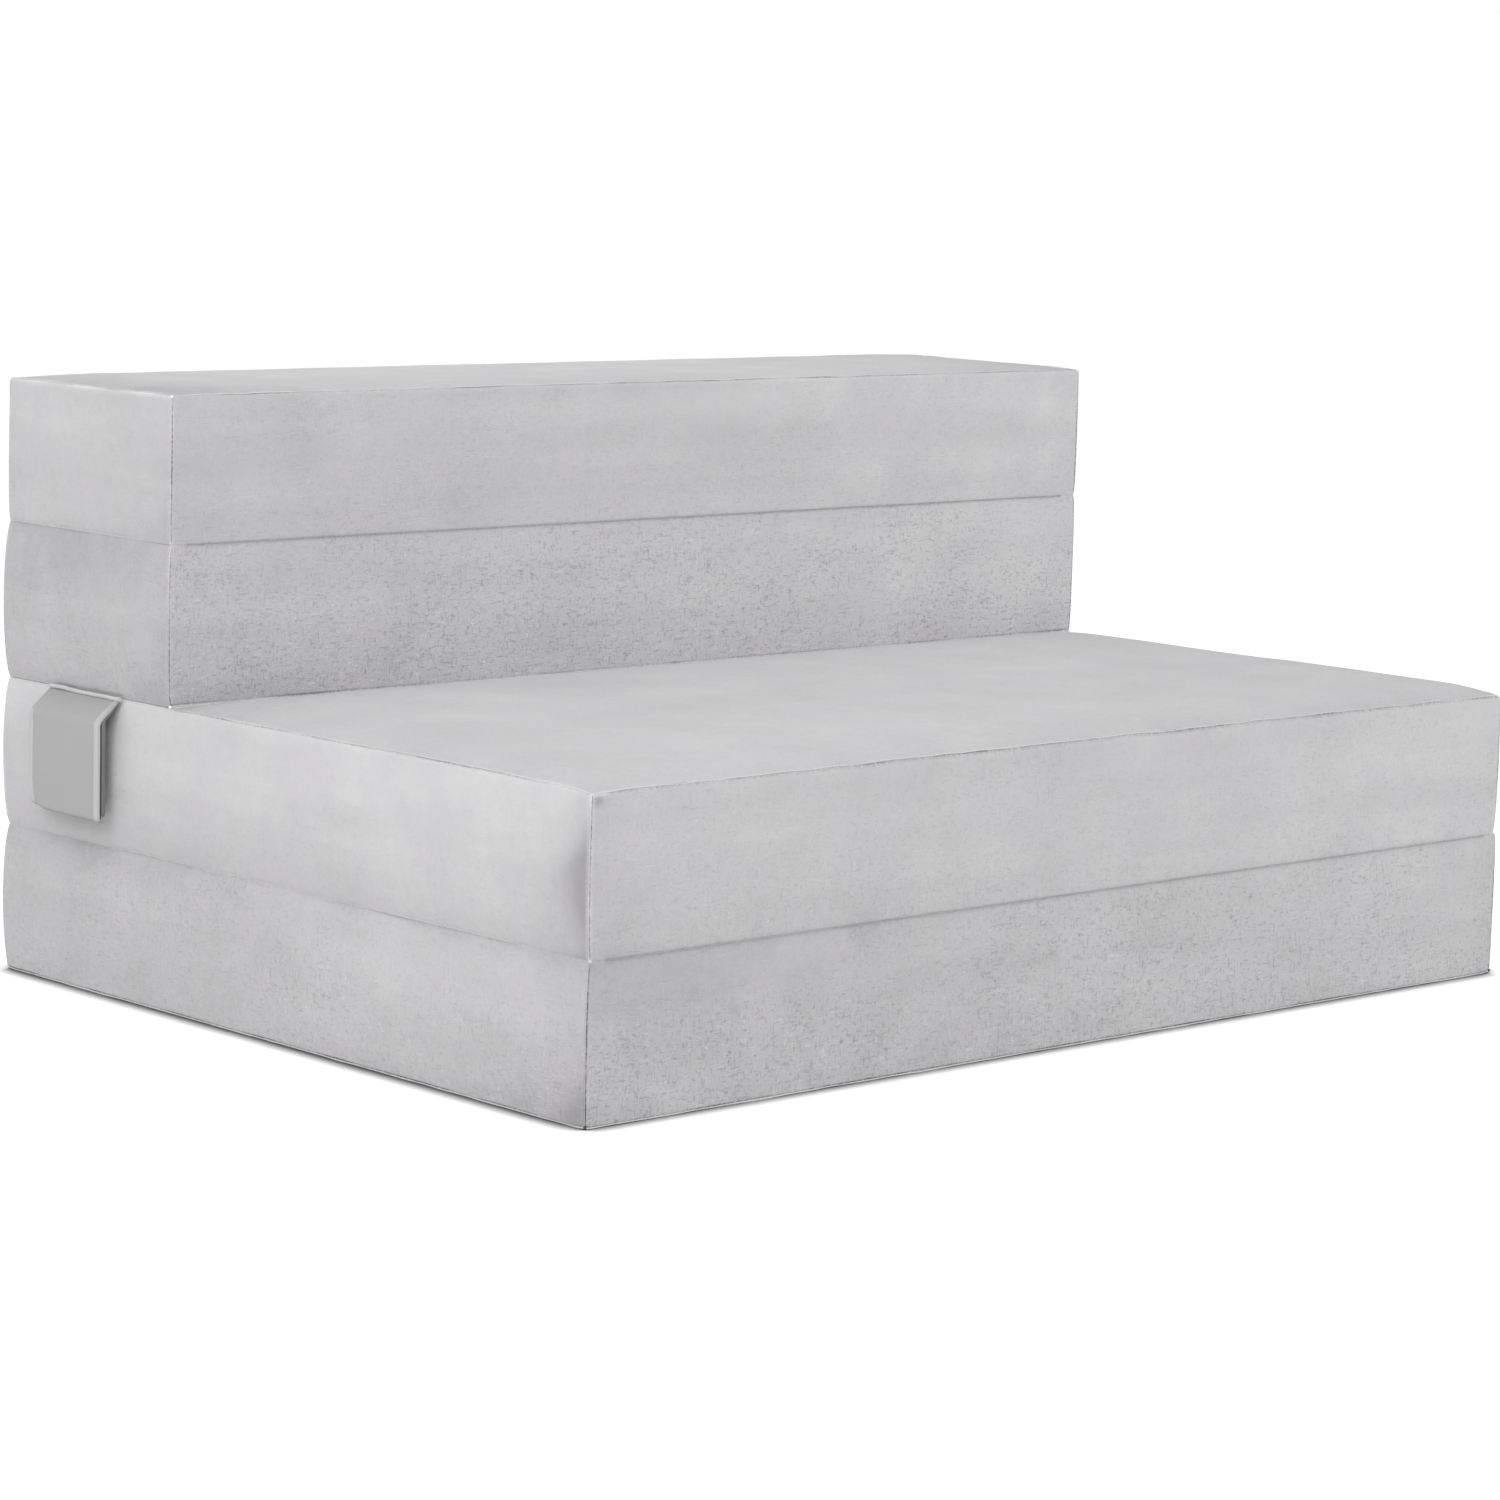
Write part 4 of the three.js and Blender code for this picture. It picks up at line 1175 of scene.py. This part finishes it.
def hang_softly(place):
    """Nobody presses a carry loop: its rear corner is rounded and its face waves a little."""
    to_foot = 1.0 - smooth_share(place.z, LOOP_LOW.z, LOOP_LOW.z + LOOP_CORNER_REACH_MM)
    to_rear = smooth_share(place.y, LOOP_HIGH.y - LOOP_CORNER_REACH_MM, LOOP_HIGH.y)
    waved = place.copy()
    waved.z += LOOP_CORNER_RISE_MM * to_foot * to_rear * to_rear
    waved.y -= LOOP_CORNER_DRAW_MM * to_foot * to_foot * to_rear
    depth = smooth_share(LOOP_ROOT.z - place.z, LOOP_WAVE_FROM_MM, LOOP_WAVE_TO_MM)
    at = Vector((place.y / LOOP_WAVE_PITCH_Y_MM, place.z / LOOP_WAVE_PITCH_Z_MM, 2.5))
    waved.x += LOOP_WAVE_MM * depth * noise.noise(at)
    return waved


def crease_shade(place):
    """How dark the loop is at its root, where shade gathers, and on its foot, which faces down."""
    root = 1.0 - smooth_share(LOOP_ROOT.z - place.z, LOOP_ROOT_SHADE_MM, LOOP_SHOULDER_DROP_MM)
    foot = 1.0 - smooth_share(place.z - LOOP_LOW.z, LOOP_THICK_MM / 2, LOOP_FOOT_SHADE_MM)
    return max(root, LOOP_FOOT_SHADE * foot)


def make_band(name, line, low_y, high_y, thick, finish, rows):
    mesh = strip_along_y(line, low_y, high_y, rows)
    shades = [crease_shade(vertex.co) for vertex in mesh.verts]
    for vertex in mesh.verts:
        vertex.co = hang_softly(vertex.co)
    bmesh.ops.recalc_face_normals(mesh, faces=mesh.faces)
    band = finish_piece(mesh, name, finish, "handle")
    band.data.attributes.new("crease", "FLOAT", "POINT").data.foreach_set("value", shades)
    wall = band.modifiers.new("thickness", "SOLIDIFY")
    wall.thickness = thick * MM
    wall.offset = 0.0
    finer = band.modifiers.new("finer", "SUBSURF")
    finer.levels = 2
    finer.render_levels = 2
    return band


def make_hem(name, line, low_y, finish):
    rows = (low_y + HEM_ROW_MM, low_y + HEM_WIDTH_MM - HEM_ROW_MM)
    make_band(name, line, low_y, low_y + HEM_WIDTH_MM, HEM_THICK_MM, finish, rows)


slope, outer_leaf, inner_leaf = loop_leaves()
front_y = LOOP_LOW.y + LOOP_FRONT_TRIM_MM
loop_rows = [front_y + row for row in LOOP_ROWS_MM]
band = make_band("carry_loop", slope + outer_leaf + inner_leaf, front_y + BAND_TRIM_MM,
                 LOOP_HIGH.y - BAND_TRIM_MM, LOOP_THICK_MM, LOOP_CLOTH, loop_rows)
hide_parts("carry_handle")
# The hems are painted lighter than the loop, as a highlight on its rounded edges
make_hem("carry_loop_front_hem", slope + outer_leaf, front_y, LOOP_HIGHLIT_HEM)
# The strip of painted hollow shade stops short of the root, so that it clears the rolled end when the loop
# swings out
hollow_shade_line = inner_leaf[:-1] + [inner_leaf[-2].lerp(inner_leaf[-1], HOLLOW_SHADE_END_SHARE)]
make_hem("carry_loop_front_hollow_shade", hollow_shade_line, front_y, LOOP_HOLLOW_SHADE)
make_hem("carry_loop_rear_hem", outer_leaf, LOOP_HIGH.y - HEM_WIDTH_MM, LOOP_HIGHLIT_HEM)
print("carry loop:", round(LOOP_HIGH.y - front_y), "mm wide,", round(LOOP_ROOT.z - LOOP_LOW.z), "mm long")

# %% [markdown]
# The ridge of an open edge has a cord in it, the rolled seam allowance, which shows through the
# cloth as a thin light line in some places and sinks out of sight in others. It is a long thin
# tube that follows its own cover, so its line comes from the same rule that shapes the cover. A
# curve with a round section makes the tube, because a curve keeps its section upright round
# every bend, and it is then turned into a mesh. Thread shows as small stitches beside the
# corner seams, and as a small pale knot where a front corner seam ends on the other panels. On
# the base a dark ball stands there instead, painted shade of the gap under the lifted corner.

# %% Draw a tube along a line
def tube(points, radius, is_loop=False, resolution=1):
    """A bmesh with a round bar along a line of points, in millimetres."""
    curve = bpy.data.curves.new("line", "CURVE")
    curve.dimensions = "3D"
    curve.bevel_depth = radius
    curve.bevel_resolution = resolution
    curve.use_fill_caps = True
    spline = curve.splines.new("POLY")
    spline.points.add(len(points) - 1)
    spline.points.foreach_set("co", [value for point in points for value in (*point, 1.0)])
    spline.use_cyclic_u = is_loop
    carrier = bpy.data.objects.new("line", curve)
    data = bpy.data.meshes.new_from_object(carrier)
    mesh = bmesh.new()
    mesh.from_mesh(data)
    bpy.data.objects.remove(carrier)
    bpy.data.curves.remove(curve)
    bpy.data.meshes.remove(data)
    return mesh


# %% Lay stitches along a line
STITCH_LENGTH_MM = 2.2
STITCH_THICK_MM = 0.5
STITCH_PITCH_MM = 4.0


def spread_along(points, pitch):
    """Places and directions every pitch millimetres along a line of points."""
    spread = []
    left_over = pitch / 2
    for start, end in zip(points, points[1:]):
        step = end - start
        while left_over < step.length:
            spread.append((start + step * (left_over / step.length), step.normalized()))
            left_over += pitch
        left_over -= step.length
    return spread


def add_stitch(mesh, place, along, length=STITCH_LENGTH_MM, thick=STITCH_THICK_MM):
    turn = along.to_track_quat("X", "Z").to_matrix().to_4x4()
    size = Matrix.Diagonal((length / 2, thick / 2, thick / 2, 1.0))
    bmesh.ops.create_icosphere(mesh, subdivisions=1, radius=1.0,
                               matrix=Matrix.Translation(place) @ turn @ size)


# %% Thread beside the corner seams and cord in the open edges
ROLL_STEP_MM = 3.0
KNOT_MM = 1.2
KNOT_PROUD_MM = 0.5
# The base's dark ball is painted shade of the gap under its lifted corner
KNOTS = ((BASE, BOTTOM, CORNER_GAP_SHADE_BALL), (SEAT, BOTTOM, EDGE_CORD), (LOWER_BACK, BOTTOM, KNOT_THREAD),
         (UPPER_BACK, TOP, KNOT_THREAD))
CORNER_STITCH_AT_MM = 2.7
CORNER_STITCH_INSET_MM = 5.0
CORD_TUCK_MM = 6.0
EDGE_CORD_MM = 0.5
EDGE_CORD_PROUD_MM = 0.1
EDGE_CORD_WANDER_MM = 0.7
EDGE_CORD_PITCH_MM = 70.0
CORD_WAVE_MM = 0.35
CORD_WAVE_PITCH_MM = 24.0


def even_steps(start, end, step):
    count = max(2, round(abs(end - start) / step))
    return [start + (end - start) * place / count for place in range(count + 1)]


def corner_line(panel, sign_x, side_y):
    """The line beside one vertical corner seam, on the end of the panel."""
    y = panel.low.y + CORNER_STITCH_AT_MM if side_y == FRONT else panel.high.y - CORNER_STITCH_AT_MM
    heights = even_steps(panel.low.z + CORNER_STITCH_INSET_MM, panel.high.z - CORNER_STITCH_INSET_MM,
                         ROLL_STEP_MM)
    return [shape_point(panel, Vector((sign_x * panel.high.x, y, z)))[0] for z in heights]


def level_line(panel, side_z, path):
    """A line in the top or bottom edge through the given corners of the block, which wanders
    in and out of the cloth as a cord under a seam does."""
    z = panel.low.z if side_z == BOTTOM else panel.high.z
    up = -1.0 if side_z == BOTTOM else 1.0
    line = []
    for start, end in zip(path, path[1:]):
        count = max(2, round((end - start).length / ROLL_STEP_MM))
        outward = Vector((start.y - end.y, end.x - start.x)).normalized() * -1.0
        side = Vector((outward.x, outward.y, up)).normalized()
        for place in [start.lerp(end, step / count) for step in range(count)]:
            at = Vector((place.x, place.y, z))
            wave = Vector((0.0, 0.0, CORD_WAVE_MM * noise.noise(at / CORD_WAVE_PITCH_MM)))
            out = EDGE_CORD_PROUD_MM + EDGE_CORD_WANDER_MM * noise.noise(at / EDGE_CORD_PITCH_MM)
            line.append(shape_point(panel, at)[0] + side * (out - EDGE_CORD_MM / 2) + wave)
    return line


def corners_of(panel, rear=None):
    """The block's corners seen from above, against the clock, from rear left round by the front."""
    x, low_y, high_y = panel.high.x, panel.low.y, panel.high.y if rear is None else rear
    return [Vector((-x, high_y)), Vector((-x, low_y)), Vector((x, low_y)), Vector((x, high_y))]


def loop_round(panel):
    corners = corners_of(panel)
    return corners + corners[:1]


OPEN_EDGES = {
    "base": (BOTTOM, loop_round(BASE), True),
    "seat": (TOP, corners_of(SEAT, LOWER_BACK.low.y + CORD_TUCK_MM), False),
    "lower_back": (BOTTOM, corners_of(LOWER_BACK)[1:3], False),
    "upper_back": (TOP, loop_round(UPPER_BACK), True),
}
for panel in PANELS:
    side_z, path, is_loop = OPEN_EDGES[panel.name]
    line = level_line(panel, side_z, path)
    cord = tube(line, EDGE_CORD_MM, is_loop)
    finish_piece(cord, f"{panel.name}_edge_cord", EDGE_CORD, panel.name)
    stitches = bmesh.new()
    for sign_x in (LEFT, RIGHT):
        for side_y in (FRONT, REAR):
            for place, along in spread_along(corner_line(panel, sign_x, side_y), STITCH_PITCH_MM):
                add_stitch(stitches, place, along)
    finish_piece(stitches, f"{panel.name}_corner_stitches", THREAD, panel.name)
    print(panel.name, "edge cord has", len(line), "points")


# %% Knots at the ends of the front corner seams
def make_knots(panel, side_z, finish):
    knots = bmesh.new()
    z = panel.low.z if side_z == BOTTOM else panel.high.z
    for sign_x in (LEFT, RIGHT):
        corner, _ = shape_point(panel, Vector((sign_x * panel.high.x, panel.low.y, z)))
        outward = Vector((sign_x, -1.0, 0.0)).normalized()
        bmesh.ops.create_icosphere(knots, subdivisions=2, radius=KNOT_MM,
                                   matrix=Matrix.Translation(corner + outward * KNOT_PROUD_MM))
    finish_piece(knots, f"{panel.name}_seam_knots", finish, panel.name)


for panel, side_z, finish in KNOTS:
    make_knots(panel, side_z, finish)
print("knots:", 2 * len(KNOTS))

# %% [markdown]
# The panels are joined edge to edge by a felled seam, a narrow roll of the knit's plain back that
# is overcast with thread. The roll is painted darker than the cover, partly as painted shade in the
# crease. The roll lies on the line the panels turn about, so it only turns on itself when a panel
# is folded over, and it needs no stretch across the joint.

# %% Hinge seams
HINGE_ROLL_MM = 0.4
HINGE_SUNK_MM = 0.15
HINGE_WAVE_MM = 0.25
HINGE_WAVE_PITCH_MM = 22.0
OVERCAST_PITCH_MM = 5.0
OVERCAST_LENGTH_MM = 1.8
OVERCAST_THICK_MM = 0.4
OVERCAST_SLANT = 0.35


def make_hinge(node, body, out):
    low, high = box_mm(node)
    middle = (low + high) / 2 - Vector((0.0, out * HINGE_SUNK_MM, 0.0))
    line = []
    for x in even_steps(low.x, high.x, ROLL_STEP_MM):
        wave = noise.noise(Vector((x / HINGE_WAVE_PITCH_MM, middle.y, middle.z)))
        line.append(Vector((x, middle.y, middle.z + HINGE_WAVE_MM * wave)))
    roll = tube(line, HINGE_ROLL_MM)
    piece = finish_piece(roll, f"{node}_roll", HINGE_CLOTH_SHADED, body)
    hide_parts(node)
    stitches = bmesh.new()
    slanted = Vector((OVERCAST_SLANT, 0.0, 1.0)).normalized()
    outside = Vector((0.0, out * HINGE_ROLL_MM, 0.0))
    for place, _ in spread_along(line, OVERCAST_PITCH_MM):
        add_stitch(stitches, place + outside, slanted, OVERCAST_LENGTH_MM, OVERCAST_THICK_MM)
    finish_piece(stitches, f"{node}_overcast", HINGE_THREAD, body)
    print(node, "is", round(high.x - low.x), "mm long")


make_hinge("front_hinge_seam", "base", -1.0)
make_hinge("rear_hinge_seam", "seat", 1.0)
make_hinge("back_hinge_seam", "lower_back", -1.0)

# %% [markdown]
# The loop's two leaves are caught in the crease under the backrest. Their raw ends are rolled
# over outside it, and the roll is stitched to the seat's edge, so it stays there while the loop
# swings. It is a tube again, painted lighter than the loop as a highlight along its top, and
# never quite straight.

# %% Rolled ends of the carry loop
LOOP_ROLL_MM = 1.6
LOOP_ROLL_PLACE = Vector((-488.0, 0.0, 231.0))
LOOP_ROLL_INSET_MM = 1.0
LOOP_ROLL_WAVE_MM = 0.8
LOOP_ROLL_PITCH_MM = 17.0


def make_loop_roll():
    line = []
    for y in even_steps(LOOP_LOW.y + LOOP_ROLL_INSET_MM, LOOP_HIGH.y - LOOP_ROLL_INSET_MM, ROLL_STEP_MM):
        wave = LOOP_ROLL_WAVE_MM * wave_at(y, LOOP_ROLL_PITCH_MM, 1.5)
        line.append(LOOP_ROLL_PLACE + Vector((0.0, y, wave)))
    roll = tube(line, LOOP_ROLL_MM, resolution=3)
    return finish_piece(roll, "carry_loop_root_roll", LOOP_ROLL_HIGHLIT, "seat")


print("rolled ends:", make_loop_roll().name)

# %% [markdown]
# The zip is a coil zip. A nylon thread is wound into a long spiral and sewn on each of two woven
# tapes, and the slider presses the two spirals into each other. At this distance each turn reads
# as one small tooth, so a tooth is a short ellipsoid, left and right in turn.

# %% Zip tapes, teeth and stops
ZIP_TAPE_THICK_MM = 0.8
ZIP_GAP_MM = 0.35
TOOTH_PITCH_MM = 2.0
TOOTH_MM = Vector((0.75, 0.7, 1.1))
TOOTH_SIDE_MM = 0.65
STOP_MM = Vector((1.4, 2.2, 3.4))
STOP_BEVEL_MM = 0.35
TAPE_BEVEL_MM = 0.2
ZIP_END_MM = 11.0


def add_block(mesh, middle, size, edge_width):
    matrix = Matrix.Translation(middle) @ Matrix.Diagonal((*size, 1.0))
    made = bmesh.ops.create_cube(mesh, size=1.0, matrix=matrix)
    bevel(mesh, list({edge for vert in made["verts"] for edge in vert.link_edges}), edge_width)


def make_zip(panel):
    low, high = box_mm(f"{panel.name}_zip")
    middle_z = (low.z + high.z) / 2
    tapes = bmesh.new()
    half_width = (high.z - low.z) / 2 - ZIP_GAP_MM
    for side in (-1.0, 1.0):
        middle = Vector((low.x + ZIP_TAPE_THICK_MM / 2, (low.y + high.y) / 2,
                         middle_z + side * (ZIP_GAP_MM + half_width / 2)))
        add_block(tapes, middle, Vector((ZIP_TAPE_THICK_MM, high.y - low.y, half_width)), TAPE_BEVEL_MM)
    piece = finish_piece(tapes, f"{panel.name}_zip_tapes", ZIP_TAPE, panel.name)
    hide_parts(f"{panel.name}_zip")
    teeth = bmesh.new()
    tooth_x = high.x - TOOTH_MM.x
    ends = (low.y + ZIP_END_MM, high.y - ZIP_END_MM)
    for number, y in enumerate(even_steps(*ends, TOOTH_PITCH_MM)):
        side = TOOTH_SIDE_MM if number % 2 else -TOOTH_SIDE_MM
        place = Matrix.Translation(Vector((tooth_x, y, middle_z + side)))
        bmesh.ops.create_icosphere(teeth, subdivisions=1, radius=1.0,
                                   matrix=place @ Matrix.Diagonal((*TOOTH_MM, 1.0)))
    for y in ends:
        add_block(teeth, Vector((tooth_x, y, middle_z)), STOP_MM, STOP_BEVEL_MM)
    finish_piece(teeth, f"{panel.name}_zip_teeth", ZIP_TEETH, panel.name)


# %% [markdown]
# The slider and its pull already have the right shape in the frame, but die-cast zinc has no
# knife edges. A copy of each is merged from loose triangles into flat faces, and its edges are
# then bevelled a little.

# %% Sliders and pulls with soft edges
CAST_EDGE_MM = 0.3
SAME_PLACE_MM = 0.01
FLAT_ANGLE = math.radians(1.0)
CAST_ANGLE = math.radians(40)


def softened_copy(node, finish, body):
    mesh = bmesh.new()
    mesh.from_mesh(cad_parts[node].data)
    bmesh.ops.scale(mesh, vec=Vector((1 / MM, 1 / MM, 1 / MM)), verts=mesh.verts)
    bmesh.ops.remove_doubles(mesh, verts=mesh.verts, dist=SAME_PLACE_MM)
    bmesh.ops.dissolve_limit(mesh, angle_limit=FLAT_ANGLE, verts=mesh.verts, edges=mesh.edges)
    sharp = [edge for edge in mesh.edges if edge.is_manifold and edge.calc_face_angle() > CAST_ANGLE]
    bevel(mesh, sharp, CAST_EDGE_MM)
    bmesh.ops.triangulate(mesh, faces=mesh.faces)
    piece = finish_piece(mesh, f"cast_{node}", finish, body)
    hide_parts(node)


for panel in PANELS:
    make_zip(panel)
    for part in ("slider", "pull"):
        softened_copy(f"{panel.name}_zip_{part}", ZINC, f"{panel.name}_{part}")
print("zips:", len(PANELS))

# %% [markdown]
# Backdrop and light. The floor and the world show white to the camera, and they light the
# object only at a plain level. The floor keeps its real shading under that white, and ambient
# occlusion darkens both close to the mattress, so a dark contact line and a short soft shadow
# remain where it stands. One large soft lamp from the front left makes the ends lighter than
# the fronts, and a weaker one from the right fills them in.

# %% Floor, world and lamps
FLOOR_HALF_M = 6.0
FLOOR_GLOW = 0.5
FLOOR_SHADE = 0.85
CONTACT_REACH_M = 0.024
CONTACT_SHUT = 0.45
CONTACT_OPEN = 0.92
CONTACT_LEFT = 0.08
WORLD_STRENGTH = 0.63
KEY_WATTS = 48.0
KEY_SIZE_M = 2.4
KEY_PLACE = Vector((-2.3, -1.35, 2.2))
FILL_WATTS = 14.0
FILL_PLACE = Vector((2.2, -2.2, 1.0))


def seen_directly(tree):
    path = add_node(tree, "ShaderNodeLightPath")
    total = path.outputs["Is Camera Ray"]
    for name in ("Is Glossy Ray", "Is Transmission Ray"):
        total = calculate(tree, "ADD", total, path.outputs[name], clamp=True)
    return total


def make_floor():
    mesh = bmesh.new()
    bmesh.ops.create_grid(mesh, x_segments=1, y_segments=1, size=FLOOR_HALF_M)
    data = bpy.data.meshes.new("floor")
    mesh.to_mesh(data)
    mesh.free()
    floor = bpy.data.objects.new("floor", data)
    material = bpy.data.materials.new("white_sweep")
    material.use_nodes = True
    tree = material.node_tree
    tree.nodes.remove(tree.nodes["Principled BSDF"])
    matt = add_node(tree, "ShaderNodeBsdfDiffuse", None, {"Color": (FLOOR_SHADE,) * 3 + (1.0,)})
    near = add_node(tree, "ShaderNodeAmbientOcclusion", {"samples": 16}, {"Distance": CONTACT_REACH_M})
    contact = add_node(tree, "ShaderNodeMapRange", None,
                       {"Value": near.outputs["AO"], "From Min": CONTACT_SHUT, "From Max": CONTACT_OPEN,
                        "To Min": CONTACT_LEFT, "To Max": 1.0})
    shaded = add_node(tree, "ShaderNodeBsdfDiffuse", None,
                      {"Color": times(tree, contact.outputs["Result"], FLOOR_SHADE)})
    glow = add_node(tree, "ShaderNodeEmission", None,
                    {"Strength": times(tree, contact.outputs["Result"], FLOOR_GLOW)})
    both = add_node(tree, "ShaderNodeAddShader", None, {0: shaded.outputs[0], 1: glow.outputs[0]})
    mix = add_node(tree, "ShaderNodeMixShader", None,
                   {"Fac": seen_directly(tree), 1: matt.outputs[0], 2: both.outputs[0]})
    tree.links.new(mix.outputs[0], tree.nodes["Material Output"].inputs["Surface"])
    data.materials.append(material)
    bpy.context.scene.collection.objects.link(floor)


def make_world():
    world = bpy.data.worlds.new("white_room")
    bpy.context.scene.world = world
    world.use_nodes = True
    tree = world.node_tree
    background = tree.nodes["Background"]
    background.inputs["Color"].default_value = (1.0, 1.0, 1.0, 1.0)
    strength = add_node(tree, "ShaderNodeMapRange", None,
                        {"Value": seen_directly(tree), "To Min": WORLD_STRENGTH, "To Max": 1.0})
    tree.links.new(strength.outputs["Result"], background.inputs["Strength"])


def make_lamp(name, place, watts, size):
    data = bpy.data.lights.new(name, "AREA")
    data.energy = watts
    data.size = size
    lamp = bpy.data.objects.new(name, data)
    lamp.location = place
    lamp.rotation_euler = (-place).to_track_quat("-Z", "Y").to_euler()
    bpy.context.scene.collection.objects.link(lamp)


make_floor()
make_world()
make_lamp("key", KEY_PLACE, KEY_WATTS, KEY_SIZE_M)
make_lamp("fill", FILL_PLACE, FILL_WATTS, KEY_SIZE_M)
bpy.context.scene.view_settings.view_transform = "Standard"
